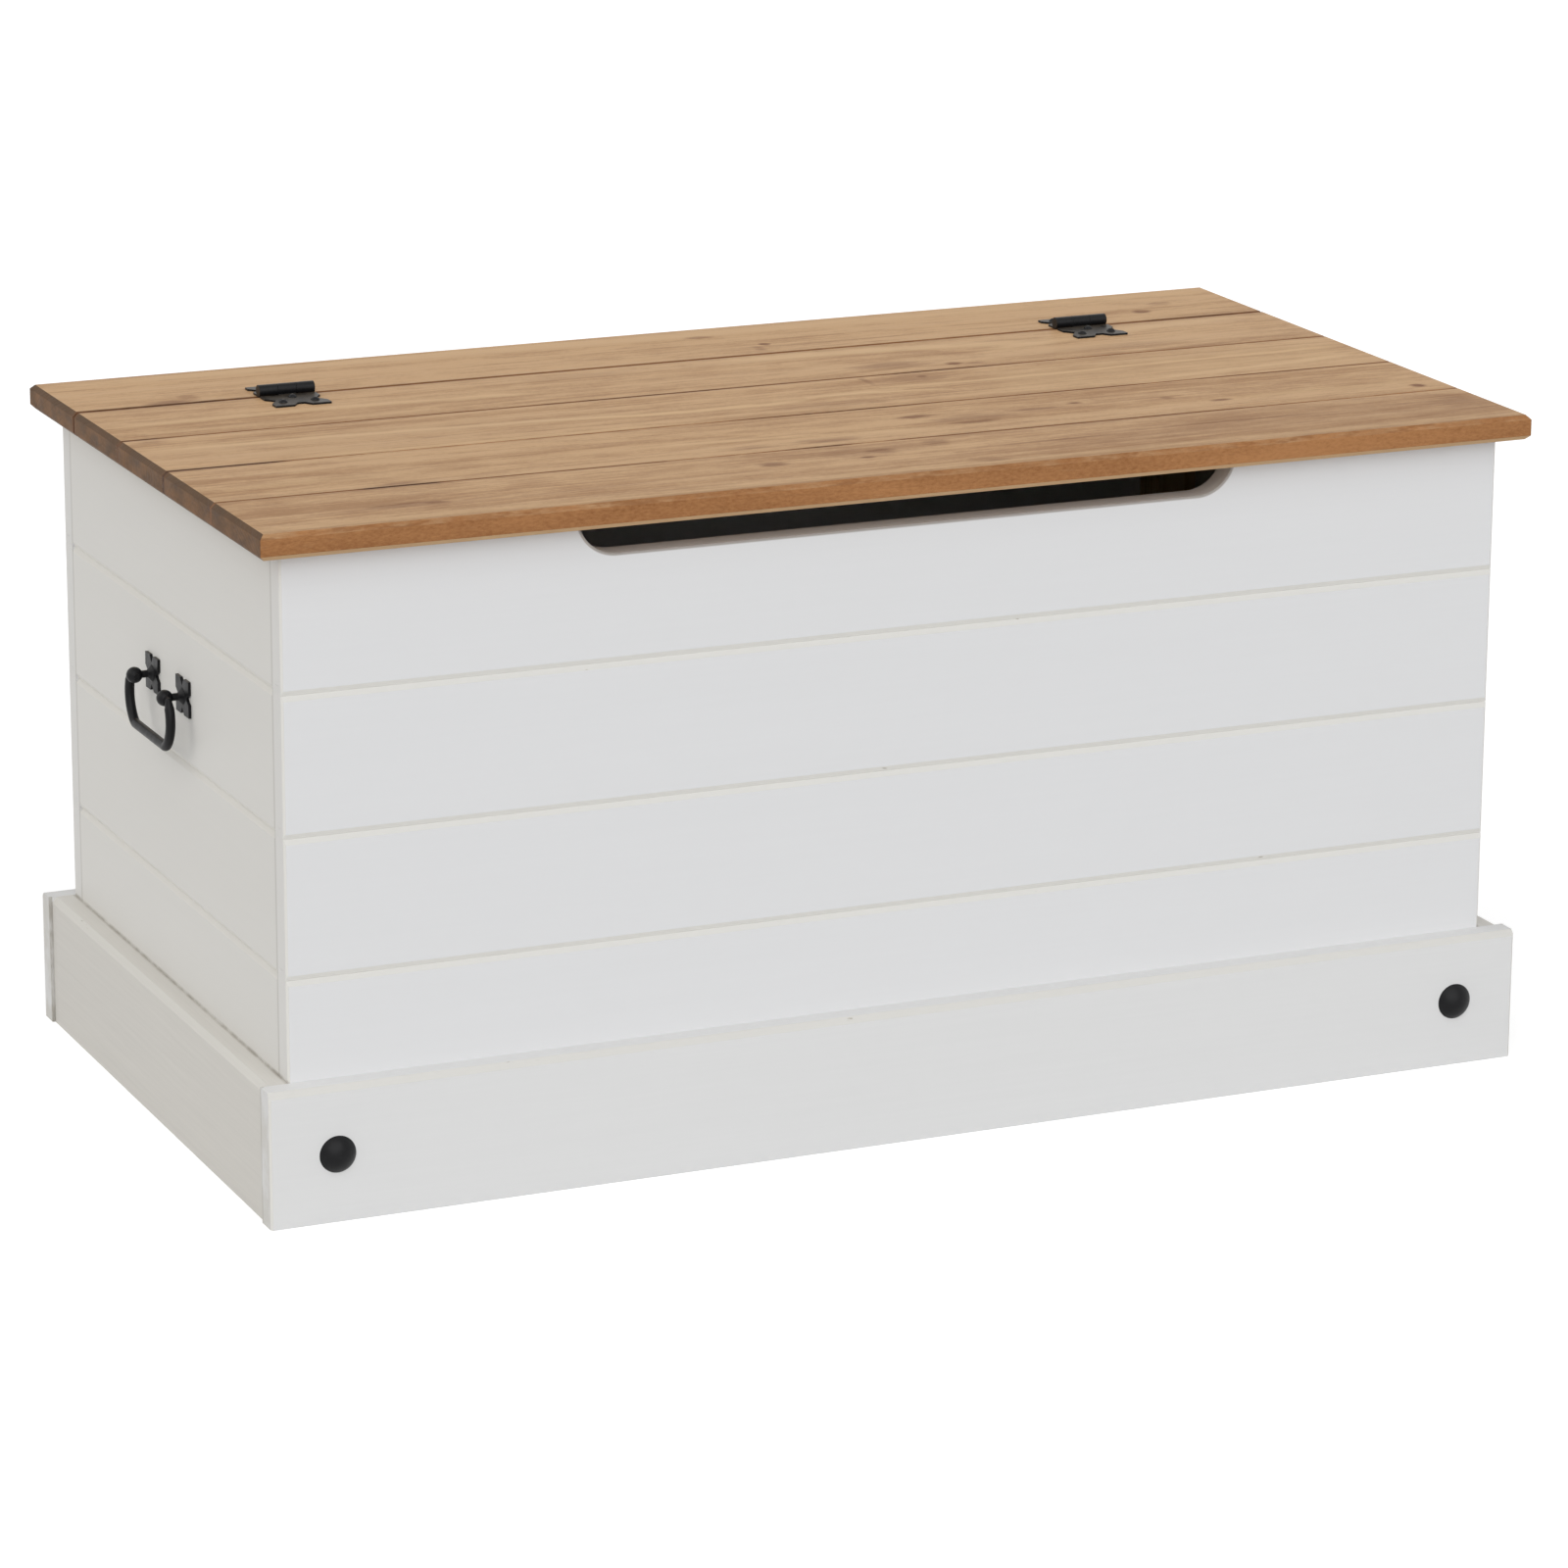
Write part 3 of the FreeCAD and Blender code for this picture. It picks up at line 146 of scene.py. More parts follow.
floor_finish = bpy.data.materials.new("pale_floor")
floor_finish.use_nodes = True
floor_tree = floor_finish.node_tree
floor_tree.nodes.clear()
matt = floor_tree.nodes.new("ShaderNodeBsdfDiffuse")
matt.inputs["Color"].default_value = FLOOR_COLOUR
glow = floor_tree.nodes.new("ShaderNodeEmission")
glow_level = floor_tree.nodes.new("ShaderNodeMath")
glow_level.operation = "MULTIPLY"
glow_level.inputs[1].default_value = FLOOR_GLOW
floor_tree.links.new(seen_directly(floor_tree), glow_level.inputs[0])
floor_tree.links.new(glow_level.outputs[0], glow.inputs["Strength"])
both = floor_tree.nodes.new("ShaderNodeAddShader")
floor_tree.links.new(matt.outputs[0], both.inputs[0])
floor_tree.links.new(glow.outputs[0], both.inputs[1])
floor_out = floor_tree.nodes.new("ShaderNodeOutputMaterial")
floor_tree.links.new(both.outputs[0], floor_out.inputs["Surface"])

floor_mesh = bpy.data.meshes.new("floor")
corners = [(x * FLOOR_HALF, y * FLOOR_HALF, 0) for x, y in ((-1, -1), (1, -1), (1, 1), (-1, 1))]
floor_mesh.from_pydata(corners, [], [(0, 1, 2, 3)])
floor_mesh.materials.append(floor_finish)
floor = bpy.data.objects.new("floor", floor_mesh)
bpy.context.scene.collection.objects.link(floor)
floor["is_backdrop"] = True
print(f"floor {2 * FLOOR_HALF:.0f} m square, sky level {SKY_LEVEL}")

# %% [markdown]
# A procedural finish is a recipe of small nodes: noise stretched into streaks, masks made from places and
# directions, colours mixed by those masks. Wiring each node by hand would bury the recipe under links, so
# this small class adds a node, feeds its sockets with numbers or with other sockets, and returns the result.
# Sums that come up again and again get short names, so that a recipe reads almost like a sentence.

# %% A bench for mixing finishes
NOISE_MIDDLE = 0.5
BEVEL_SAMPLES = 4
# the Mix node keeps sockets for numbers and vectors too, and these are the places of those for colours
MIX_SHARE, MIX_FIRST, MIX_SECOND, MIX_RESULT = 0, 6, 7, 2


class Finish:
    """One material while it is being mixed."""

    def __init__(self, name):
        self.material = bpy.data.materials.new(name)
        self.material.use_nodes = True
        self.tree = self.material.node_tree
        self.tree.nodes.clear()
        coordinates = self.add("TexCoord")
        self.place = coordinates.outputs["Object"]
        self.facing = coordinates.outputs["Normal"]

    def add(self, kind, *values, **settings):
        """A node with its settings, and its inputs fed in order."""
        node = self.tree.nodes.new("ShaderNode" + kind)
        for name, value in settings.items():
            setattr(node, name, value)
        for socket, value in zip(node.inputs, values):
            self.feed(socket, value)
        return node

    def feed(self, socket, value):
        """Link a socket to another one, or set it to a number. None leaves it as it is."""
        if isinstance(value, bpy.types.NodeSocket):
            self.tree.links.new(value, socket)
        elif value is not None:
            socket.default_value = value

    def calc(self, operation, *values, clamp=False):
        return self.add("Math", *values, operation=operation, use_clamp=clamp).outputs[0]

    def plus(self, first, second, clamp=False):
        return self.calc("ADD", first, second, clamp=clamp)

    def minus(self, first, second):
        return self.calc("SUBTRACT", first, second)

    def times(self, first, second, clamp=False):
        return self.calc("MULTIPLY", first, second, clamp=clamp)

    def square(self, value):
        return self.calc("POWER", value, 2.0)

    def off(self, value, middle):
        """How far a value lies from a middle, on either side."""
        return self.calc("ABSOLUTE", self.minus(value, middle))

    def around_zero(self, noise, size):
        """Noise from 0 to 1 turned into a change up or down, size from end to end."""
        return self.times(self.minus(noise, NOISE_MIDDLE), size)

    def ease(self, value, low, high):
        """0 below low, 1 above high, with a soft passage between."""
        return self.add("MapRange", value, low, high, interpolation_type="SMOOTHSTEP").outputs[0]

    def near(self, distance, full, none):
        """1 up to the distance full, 0 beyond the distance none, with a soft passage between."""
        return self.minus(1.0, self.ease(distance, full, none))

    def vector(self, operation, *values):
        return self.add("VectorMath", *values, operation=operation).outputs[0]

    def split(self, vector):
        return self.add("SeparateXYZ", vector).outputs[:]

    def joined(self, *parts):
        return self.add("CombineXYZ", *parts).outputs[0]

    def sizes(self, vector):
        """The three parts of a vector without their signs."""
        return [self.calc("ABSOLUTE", part) for part in self.split(vector)]

    def cloud(self, vector, stretch, detail=2.0, roughness=0.5):
        """Noise from 0 to 1, with stretch blobs per metre along each axis."""
        stretched = self.vector("MULTIPLY", vector, stretch)
        return self.add("TexNoise", stretched, None, 1.0, detail, roughness).outputs[0]

    def drift(self, vector, stretch, size):
        """A noise vector around zero, about size metres long."""
        stretched = self.vector("MULTIPLY", vector, stretch)
        noise = self.add("TexNoise", stretched, None, 1.0, 2.0, 0.5).outputs[1]
        centred = self.vector("SUBTRACT", noise, (NOISE_MIDDLE, NOISE_MIDDLE, NOISE_MIDDLE))
        return self.vector("MULTIPLY", centred, (size, size, size))

    def mix(self, share, first, second):
        """The first colour, with a share of the second over it."""
        node = self.add("Mix", data_type="RGBA")
        for index, value in ((MIX_SHARE, share), (MIX_FIRST, first), (MIX_SECOND, second)):
            self.feed(node.inputs[index], value)
        return node.outputs[MIX_RESULT]

    def shade(self, colour, amount):
        """A colour made lighter or darker by a factor near 1."""
        return self.vector("MULTIPLY", colour, self.joined(amount, amount, amount))

    def done(self, colour, roughness, height, depth, edge_radius, **constants):
        """Principled shader with rounded-looking edges and a bump of the given depth in metres."""
        soft_edge = self.add("Bevel", edge_radius, samples=BEVEL_SAMPLES).outputs[0]
        bump = self.add("Bump")
        bumps = {"Strength": 1.0, "Distance": depth, "Height": height, "Normal": soft_edge}
        for name, value in bumps.items():
            self.feed(bump.inputs[name], value)
        shader = self.add("BsdfPrincipled")
        self.feed(shader.inputs["Base Color"], colour)
        self.feed(shader.inputs["Roughness"], roughness)
        self.feed(shader.inputs["Normal"], bump.outputs[0])
        for name, value in constants.items():
            shader.inputs[name.replace("_", " ")].default_value = value
        output = self.add("OutputMaterial")
        self.tree.links.new(shader.outputs[0], output.inputs["Surface"])
        print(f"{self.material.name}: {len(self.tree.nodes)} nodes")
        return self.material


def dress(material, names):
    """Give CAD pieces a finish, in the slot that they came with."""
    for name in names:
        cad_nodes[name].material_slots[0].material = material


print("a bench for mixing finishes")

# %% [markdown]
# A pine board is a slice of a tree, so its figure is not painted on: it is where the saw met the growth
# rings. The recipe keeps that idea. It measures how far a point lies from the tree's heart, bends that
# distance with slow noise because trunks are never straight, and counts off rings. The same rings then show
# as arches on a face, straight lines on an edge and curves on an end, without any of them being drawn.

# %% Growth rings
RING_WIDTH = 0.0034
SLOW_BEND = 0.024
QUICK_BEND = 0.0030
SMUDGE_RAGGED = 1.25
SMUDGE_LEAST = 0.55


def grain_space(finish, along):
    """The place on a board, turned so that x runs with the fibres."""
    x, y, z = finish.split(finish.place)
    order = {"X": (x, y, z), "Y": (y, x, z), "Z": (z, x, y)}[along]
    return finish.joined(*order)


def smudge(finish, grain, figure, along, across, length, width):
    """A soft mark with a ragged outline, broken up along the fibres. Half lengths are in metres."""
    dx, dy, _ = finish.split(finish.vector("SUBTRACT", grain, (along, across, 0)))
    longways = finish.square(finish.calc("DIVIDE", dx, length))
    sideways = finish.square(finish.calc("DIVIDE", dy, width))
    away = finish.calc("SQRT", finish.plus(longways, sideways))
    away = finish.plus(away, finish.around_zero(figure["ragged"], SMUDGE_RAGGED))
    soft = finish.near(away, 0.25, 1.1)
    splinters = finish.ease(figure["splinter"], 0.36, 0.62)
    broken = finish.plus(SMUDGE_LEAST, finish.times(splinters, 0.55))
    return finish.times(soft, broken)


def drawn(finish, value, points):
    """The height of a smooth line drawn through points. Value, points and height run from 0 to 1."""
    node = finish.add("FloatCurve", 1.0, value)
    line = node.mapping.curves[0]
    line.points[0].location = points[0]
    line.points[1].location = points[-1]
    for place, height in points[1:-1]:
        line.points.new(place, height)
    node.mapping.update()
    return node.outputs[0]


def pine_figure(finish, grain, seed, heart, lean):
    """Rings and streaks of one board, each from 0 to 1. The heart is the tree's centre across the board."""
    place = finish.vector("ADD", grain, seed)
    bent = finish.vector("ADD", grain, finish.drift(place, (1.3, 7, 7), SLOW_BEND))
    bent = finish.vector("ADD", bent, finish.drift(place, (9, 60, 60), QUICK_BEND))
    along, across, through = finish.split(finish.vector("SUBTRACT", bent, (0, *heart)))
    through = finish.plus(through, finish.times(along, lean))
    from_heart = finish.calc("SQRT", finish.plus(finish.square(across), finish.square(through)))
    years = finish.calc("DIVIDE", from_heart, RING_WIDTH)
    season = finish.calc("FRACT", years)
    late = finish.minus(finish.ease(season, 0.05, 0.80), finish.ease(season, 0.80, 1.0))
    year = finish.calc("FLOOR", years)
    strong = finish.add("TexNoise", None, year, 0.7, 0.0, noise_dimensions="1D").outputs[0]
    return {
        "place": place,
        "rings": finish.times(late, finish.ease(strong, 0.25, 0.75)),
        "fibre": finish.cloud(place, (5, 460, 460), 3.0, 0.6),
        "streak": finish.cloud(place, (1.3, 58, 58), 4.0, 0.55),
        "patch": finish.cloud(place, (3.4, 18, 18), 3.0, 0.6),
        "mottle": finish.cloud(place, (26, 62, 62), 2.0, 0.55),
        "fleck": finish.cloud(place, (38, 300, 300), 3.0, 0.65),
        "pore": finish.cloud(place, (230, 520, 520), 2.0, 0.7),
        "tick": finish.cloud(place, (28, 700, 700), 1.0),
        "ragged": finish.cloud(place, (42, 170, 170), 3.0, 0.6),
        "splinter": finish.cloud(place, (16, 420, 420), 3.0, 0.6),
    }


print(f"growth rings {RING_WIDTH * 1000:.1f} mm wide")

# %% [markdown]
# The top was sanded, stained honey brown and waxed. Each board came from another tree, so each gets its own
# heart, shift and tone. Knots, dark smudges and the pale lines that wander down a board can be seen one by
# one in the photograph, so they are drawn: a Float Curve node turns the place along the board into a height,
# and a few points are enough. The joints are drawn the same way, because wax and dirt fill them unevenly.
# Sawn ends drink more stain and turn dark brown, and the long edges are redder. The bevels under the long
# edges are painted paler, a painted highlight of the light from the floor.

# %% Waxed pine for the top
HONEY = (0.582, 0.371, 0.200, 1)
HONEY_LATE = (0.372, 0.205, 0.098, 1)
HONEY_PALE = (0.665, 0.450, 0.250, 1)
SMUDGE_BROWN = (0.200, 0.086, 0.035, 1)
JOINT_BROWN = (0.215, 0.098, 0.042, 1)
JOINT_DARK = (0.075, 0.032, 0.014, 1)
END_BROWN = (0.195, 0.098, 0.042, 1)
END_DARK = (0.090, 0.052, 0.028, 1)
EDGE_ORANGE = (0.425, 0.200, 0.080, 1)
EDGE_DARK = (0.225, 0.090, 0.031, 1)
BOARD_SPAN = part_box("rear_rail")[1].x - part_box("rear_rail")[0].x

# how much each part of the figure darkens the wood
FIGURE_WEIGHTS = {"streak": 2.2, "fibre": 1.3, "patch": 1.7, "mottle": 0.9, "fleck": 1.4, "pore": 1.0}
RING_WEIGHT = 0.25
MARK_GAIN = 1.25

# how strongly a mark covers the wood, as a share
TICK_SHARE = 0.35
ARRIS_SHARE = 0.55
UNDERSIDE_HIGHLIGHT_SHARE = 0.7
END_RING_SHARE = 0.12
END_BEVEL_SHARE = 0.75
STAIN_SHARE = 0.30

# lengths in metres
PALE_LINE_WANDER = 0.006
STAIN_FULL, STAIN_NONE = 0.0008, 0.0070
JOINT_WIDTH, JOINT_WIDENING = 0.0014, 0.0012
WAX_BUMP = 0.00020
WAX_EDGE = 0.0011

CRUMBS_PER_METRE = 70
CRUMB_SWING = 0.55
JOINT_SHIFT = 37.0


def share_along(x):
    """A place along the trunk as a share of the boards' length."""
    return min(max(x / BOARD_SPAN + 0.5, 0.0), 1.0)


def pale_line(finish, along, y, points, width):
    """A pale band whose middle runs through points (x, y), fading out beyond its ends."""
    low = min(height for _, height in points)
    tall = max(height for _, height in points) - low + 0.001
    places = [(share_along(x), (height - low) / tall) for x, height in points]
    first, last = places[0][0], places[-1][0]
    middle = finish.plus(low, finish.times(drawn(finish, along, places), tall))
    band = finish.near(finish.off(y, middle), 0.15 * width, width)
    starts = finish.ease(along, first - 0.02, first + 0.03)
    stops = finish.near(along, last - 0.03, last + 0.02)
    return finish.times(band, finish.times(starts, stops))


def joint_line(finish, wood, along, y, joint, darkness):
    """The dark line in a joint. Darkness is drawn along the board: 0 none, 0.5 brown, 1 nearly black."""
    gap = finish.off(y, joint)
    x = finish.split(finish.place)[0]
    shifted = finish.joined(x, joint * JOINT_SHIFT, 0.0)
    crumbs = finish.cloud(shifted, (CRUMBS_PER_METRE, 1, 1), 4.0, 0.7)
    places = [(share_along(place), share) for place, share in darkness]
    share = finish.plus(drawn(finish, along, places), finish.around_zero(crumbs, CRUMB_SWING), clamp=True)
    stain = finish.near(gap, STAIN_FULL, STAIN_NONE)
    wood = finish.mix(finish.times(stain, finish.times(share, STAIN_SHARE)), wood, SMUDGE_BROWN)
    width = finish.plus(JOINT_WIDTH, finish.times(share, JOINT_WIDENING))
    line = finish.near(finish.calc("DIVIDE", gap, width), 0.45, 1.1)
    dirt = finish.mix(finish.ease(share, 0.50, 0.95), JOINT_BROWN, JOINT_DARK)
    return finish.mix(finish.times(line, finish.ease(share, 0.05, 0.45)), wood, dirt)


def waxed_pine(board, joints, seed, heart, lean, tone, marks, pale_lines):
    """The finish of one top board. Joints are the places across the trunk where it meets its neighbours."""
    finish = Finish(f"waxed_pine_{board}")
    grain = grain_space(finish, "X")
    figure = pine_figure(finish, grain, seed, heart, lean)
    x, y, _ = finish.split(finish.place)
    along = finish.plus(finish.calc("DIVIDE", x, BOARD_SPAN), 0.5)
    up = finish.split(finish.facing)[2]
    nx, ny, _ = finish.sizes(finish.facing)

    depth = tone
    for name, weight in FIGURE_WEIGHTS.items():
        depth = finish.plus(depth, finish.around_zero(figure[name], weight))
    depth = finish.plus(depth, finish.times(figure["rings"], RING_WEIGHT), clamp=True)
    wood = finish.mix(depth, HONEY, HONEY_LATE)
    wandering_y = finish.plus(y, finish.around_zero(figure["mottle"], PALE_LINE_WANDER))
    for points, width, strength in pale_lines:
        band = pale_line(finish, along, wandering_y, points, width)
        wood = finish.mix(finish.times(band, strength), wood, HONEY_PALE)
    ticks = finish.times(finish.ease(figure["tick"], 0.66, 0.80), TICK_SHARE)
    wood = finish.mix(ticks, wood, SMUDGE_BROWN)
    for place_along, across, length, width, strength in marks:
        mark = smudge(finish, grain, figure, place_along, across, length, width)
        wood = finish.mix(finish.times(mark, MARK_GAIN * strength, clamp=True), wood, SMUDGE_BROWN)

    hairs = finish.cloud(figure["place"], (260, 900, 620), 4.0, 0.75)
    edge_tone = finish.plus(finish.times(hairs, 1.3), finish.times(figure["patch"], 1.5))
    edge = finish.mix(finish.ease(edge_tone, 0.95, 1.95), EDGE_ORANGE, EDGE_DARK)
    ragged_ny = finish.plus(ny, finish.around_zero(figure["ragged"], 1.0))
    wood = finish.mix(finish.ease(ragged_ny, 0.38, 0.92), wood, edge)
    arris = finish.ease(finish.times(ny, up), 0.25, 0.45)
    dashes = finish.ease(finish.cloud(figure["place"], (46, 90, 240), 3.0, 0.7), 0.48, 0.64)
    wood = finish.mix(finish.times(finish.times(arris, dashes), ARRIS_SHARE), wood, EDGE_DARK)
    # the bevels under the long edges are painted paler: a painted highlight of the light from the floor
    down = finish.times(up, -1.0)
    underside_highlight = finish.times(finish.ease(down, 0.5, 0.7), finish.ease(ny, 0.5, 0.7))
    wood = finish.mix(finish.times(underside_highlight, UNDERSIDE_HIGHLIGHT_SHARE), wood, HONEY_PALE)

    end_streak = finish.cloud(figure["place"], (40, 44, 80), 4.0, 0.7)
    end = finish.mix(finish.ease(end_streak, 0.30, 0.72), END_BROWN, END_DARK)
    end = finish.mix(finish.times(figure["rings"], END_RING_SHARE), end, END_DARK)
    end = finish.mix(finish.times(finish.ease(up, 0.4, 0.6), END_BEVEL_SHARE), end, END_DARK)
    wood = finish.mix(finish.ease(nx, 0.45, 0.65), wood, end)
    for joint, darkness in joints:
        wood = joint_line(finish, wood, along, y, joint, darkness)

    roughness = finish.plus(0.44, finish.times(figure["streak"], 0.20))
    height = finish.minus(figure["fibre"], finish.times(figure["rings"], 0.5))
    return finish.done(wood, roughness, height, WAX_BUMP, WAX_EDGE, Specular_IOR_Level=0.1)


LID_BOARDS = [f"lid_board_{order}" for order in range(1, 5)]
seam_y = [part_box(board)[0].y for board in LID_BOARDS[1:]]
lid_rear_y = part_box(LID_BOARDS[-1])[1].y
rail_front_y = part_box("rear_rail")[0].y

# each joint's darkness, as places along the trunk with their heights
RAIL_DARK = [
    (-0.46, 0.75), (-0.38, 0.85), (-0.30, 0.60), (-0.17, 0.62), (-0.08, 0.42),
    (0.03, 0.52), (0.12, 0.34), (0.30, 0.45), (0.40, 0.75), (0.46, 0.70),
]
BACK_DARK = [
    (-0.46, 0.80), (-0.425, 0.70), (-0.39, 0.30), (-0.27, 0.42), (-0.16, 0.55), (-0.10, 0.68),
    (0.0, 0.66), (0.06, 0.52), (0.14, 0.72), (0.20, 0.55), (0.25, 0.28), (0.46, 0.42),
]
MIDDLE_DARK = [
    (-0.46, 1.0), (-0.39, 1.0), (-0.36, 0.20), (-0.27, 0.06), (-0.16, 0.26), (-0.08, 0.18), (-0.03, 0.62),
    (0.05, 0.68), (0.12, 0.34), (0.23, 0.52), (0.27, 0.26), (0.34, 0.55), (0.46, 0.46),
]
FRONT_DARK = [
    (-0.46, 0.36), (-0.36, 0.42), (-0.345, 0.95), (-0.305, 0.95), (-0.29, 0.38), (-0.17, 0.46),
    (-0.11, 0.18), (-0.05, 0.45), (-0.02, 0.75), (0.0, 0.12), (0.04, 0.46), (0.19, 0.58),
    (0.30, 0.36), (0.36, 0.10), (0.40, 0.08), (0.46, 0.45),
]

# a mark is its place along and across, its half length, half width and strength, and a pale line is its
# points, half width and strength
TOP_WOOD = {
    "rear_rail": dict(
        joints=[(rail_front_y, RAIL_DARK)],
        seed=(4.1, 0.7, 0.2), heart=(0.120, 0.330), lean=0.02, tone=0.02,
        marks=[
            (-0.385, 0.149, 0.022, 0.006, 0.75), (-0.368, 0.160, 0.010, 0.010, 0.45),
            (0.068, 0.173, 0.005, 0.006, 0.95), (0.059, 0.160, 0.006, 0.012, 0.40),
            (0.033, 0.211, 0.012, 0.006, 0.50), (0.370, 0.174, 0.009, 0.008, 0.95),
            (0.395, 0.196, 0.012, 0.008, 0.35),
        ],
        pale_lines=[([(-0.44, 0.222), (-0.20, 0.228), (0.10, 0.222), (0.44, 0.226)], 0.012, 0.35)],
    ),
    "lid_board_4": dict(
        joints=[(lid_rear_y, RAIL_DARK), (seam_y[2], BACK_DARK)],
        seed=(1.3, 2.9, 0.5), heart=(0.085, 0.355), lean=0.035, tone=0.31,
        marks=[
            (0.120, 0.070, 0.036, 0.015, 0.45), (0.165, 0.061, 0.008, 0.006, 0.95),
            (0.180, 0.057, 0.012, 0.003, 0.60), (-0.100, 0.120, 0.060, 0.014, 0.20),
            (0.300, 0.070, 0.070, 0.012, 0.22),
        ],
        pale_lines=[
            ([(-0.44, 0.088), (-0.28, 0.090), (-0.20, 0.086), (-0.14, 0.083)], 0.007, 0.65),
            ([(0.02, 0.128), (0.11, 0.124), (0.19, 0.116), (0.26, 0.104)], 0.012, 0.70),
            ([(0.20, 0.092), (0.28, 0.108), (0.36, 0.124), (0.43, 0.130)], 0.010, 0.50),
            ([(-0.44, 0.064), (-0.30, 0.060), (-0.22, 0.062)], 0.006, 0.35),
        ],
    ),
    "lid_board_3": dict(
        joints=[(seam_y[2], BACK_DARK), (seam_y[1], MIDDLE_DARK)],
        seed=(7.7, 5.1, 0.9), heart=(-0.090, 0.430), lean=0.01, tone=0.22,
        marks=[
            (0.083, 0.030, 0.004, 0.014, 0.45), (0.126, 0.030, 0.005, 0.004, 0.90),
            (0.122, 0.028, 0.036, 0.015, 0.36), (-0.435, 0.036, 0.014, 0.005, 0.40),
            (0.030, -0.030, 0.050, 0.012, 0.25), (-0.300, 0.000, 0.220, 0.060, 0.08),
        ],
        pale_lines=[
            (
                [
                    (-0.44, 0.010), (-0.305, 0.006), (-0.205, 0.001),
                    (-0.13, -0.007), (-0.055, -0.013), (0.02, -0.009),
                ],
                0.006, 0.90,
            ),
            ([(0.02, -0.006), (0.035, -0.003), (0.08, -0.006), (0.13, -0.022)], 0.005, 0.75),
            ([(0.08, 0.009), (0.195, 0.004), (0.27, 0.007), (0.44, 0.011)], 0.005, 0.75),
            ([(0.27, -0.036), (0.37, -0.028), (0.445, -0.011)], 0.007, 0.65),
            ([(0.16, -0.008), (0.30, 0.000), (0.445, 0.006)], 0.060, 0.34),
            ([(-0.36, -0.044), (-0.24, -0.045), (-0.10, -0.044)], 0.005, 0.60),
        ],
    ),
    "lid_board_2": dict(
        joints=[(seam_y[1], MIDDLE_DARK), (seam_y[0], FRONT_DARK)],
        seed=(2.4, 8.3, 0.4), heart=(-0.105, 0.375), lean=0.045, tone=0.27,
        marks=[
            (0.066, -0.086, 0.018, 0.006, 0.85), (0.100, -0.104, 0.040, 0.014, 0.45),
            (0.100, -0.116, 0.024, 0.004, 0.60), (0.150, -0.096, 0.024, 0.004, 0.55),
            (0.185, -0.088, 0.007, 0.006, 0.75), (0.251, -0.098, 0.006, 0.005, 0.80),
            (0.283, -0.118, 0.010, 0.004, 0.95), (0.431, -0.128, 0.007, 0.006, 0.80),
            (-0.022, -0.130, 0.030, 0.008, 0.52), (-0.075, -0.131, 0.026, 0.007, 0.40),
            (-0.325, -0.140, 0.018, 0.006, 0.45),
        ],
        pale_lines=[
            ([(-0.13, -0.104), (-0.05, -0.110), (0.02, -0.118), (0.06, -0.122)], 0.006, 0.50),
            ([(0.30, -0.116), (0.37, -0.113), (0.44, -0.115)], 0.006, 0.50),
            ([(-0.44, -0.116), (-0.38, -0.112), (-0.30, -0.120)], 0.010, 0.35),
        ],
    ),
    "lid_board_1": dict(
        joints=[(seam_y[0], FRONT_DARK)],
        seed=(9.2, 3.6, 0.1), heart=(-0.170, 0.350), lean=0.03, tone=0.46,
        marks=[
            (-0.081, -0.182, 0.013, 0.008, 0.75), (-0.010, -0.168, 0.064, 0.018, 0.30),
            (0.001, -0.172, 0.014, 0.008, 0.65), (0.046, -0.163, 0.013, 0.012, 0.50),
            (-0.014, -0.186, 0.006, 0.004, 0.85), (-0.345, -0.197, 0.030, 0.008, 0.50),
            (-0.322, -0.199, 0.010, 0.006, 0.60), (0.056, -0.223, 0.020, 0.008, 0.35),
            (0.432, -0.186, 0.024, 0.030, 0.30), (0.340, -0.196, 0.260, 0.070, 0.22),
            (0.120, -0.187, 0.070, 0.003, 0.45), (0.270, -0.180, 0.080, 0.003, 0.38),
            (0.400, -0.176, 0.040, 0.003, 0.30),
        ],
        pale_lines=[([(-0.44, -0.228), (-0.20, -0.232), (0.10, -0.229), (0.44, -0.231)], 0.008, 0.30)],
    ),
}
for board, recipe in TOP_WOOD.items():
    dress(waxed_pine(board, **recipe), [board])

# %% [markdown]
# Inside, the posts, cleats, battens and bottom are plain sawn pine: paler, yellower and drier than the top.
# The recipe is the same tree without stain, so only its colours change. The fibres of an upright post run
# along Z and those of a side cleat along Y, and the grain space is turned for each.

# %% Bare pine for the hidden woodwork
PALE_PINE = (0.640, 0.470, 0.290, 1)
PALE_LATE = (0.500, 0.320, 0.160, 1)
BARE_HEARTS = {"X": (0.03, 0.06), "Y": (0.05, 0.46), "Z": (0.46, 0.28)}
BARE_LEAN = 0.02
BARE_RING_SHARE = 0.7
BARE_BUMP = 0.0002
BARE_EDGE = 0.0008


def bare_pine(along, seed):
    """Unfinished pine with its fibres along one axis."""
    finish = Finish(f"bare_pine_along_{along.lower()}")
    figure = pine_figure(finish, grain_space(finish, along), seed, BARE_HEARTS[along], BARE_LEAN)
    wood = finish.mix(finish.times(figure["rings"], BARE_RING_SHARE), PALE_PINE, PALE_LATE)
    streaks = finish.plus(0.84, finish.times(figure["streak"], 0.32))
    fibres = finish.plus(0.92, finish.times(figure["fibre"], 0.16))
    wood = finish.shade(wood, finish.times(streaks, fibres))
    roughness = finish.plus(0.62, finish.times(figure["fibre"], 0.2))
    return finish.done(wood, roughness, figure["fibre"], BARE_BUMP, BARE_EDGE, Specular_IOR_Level=0.3)


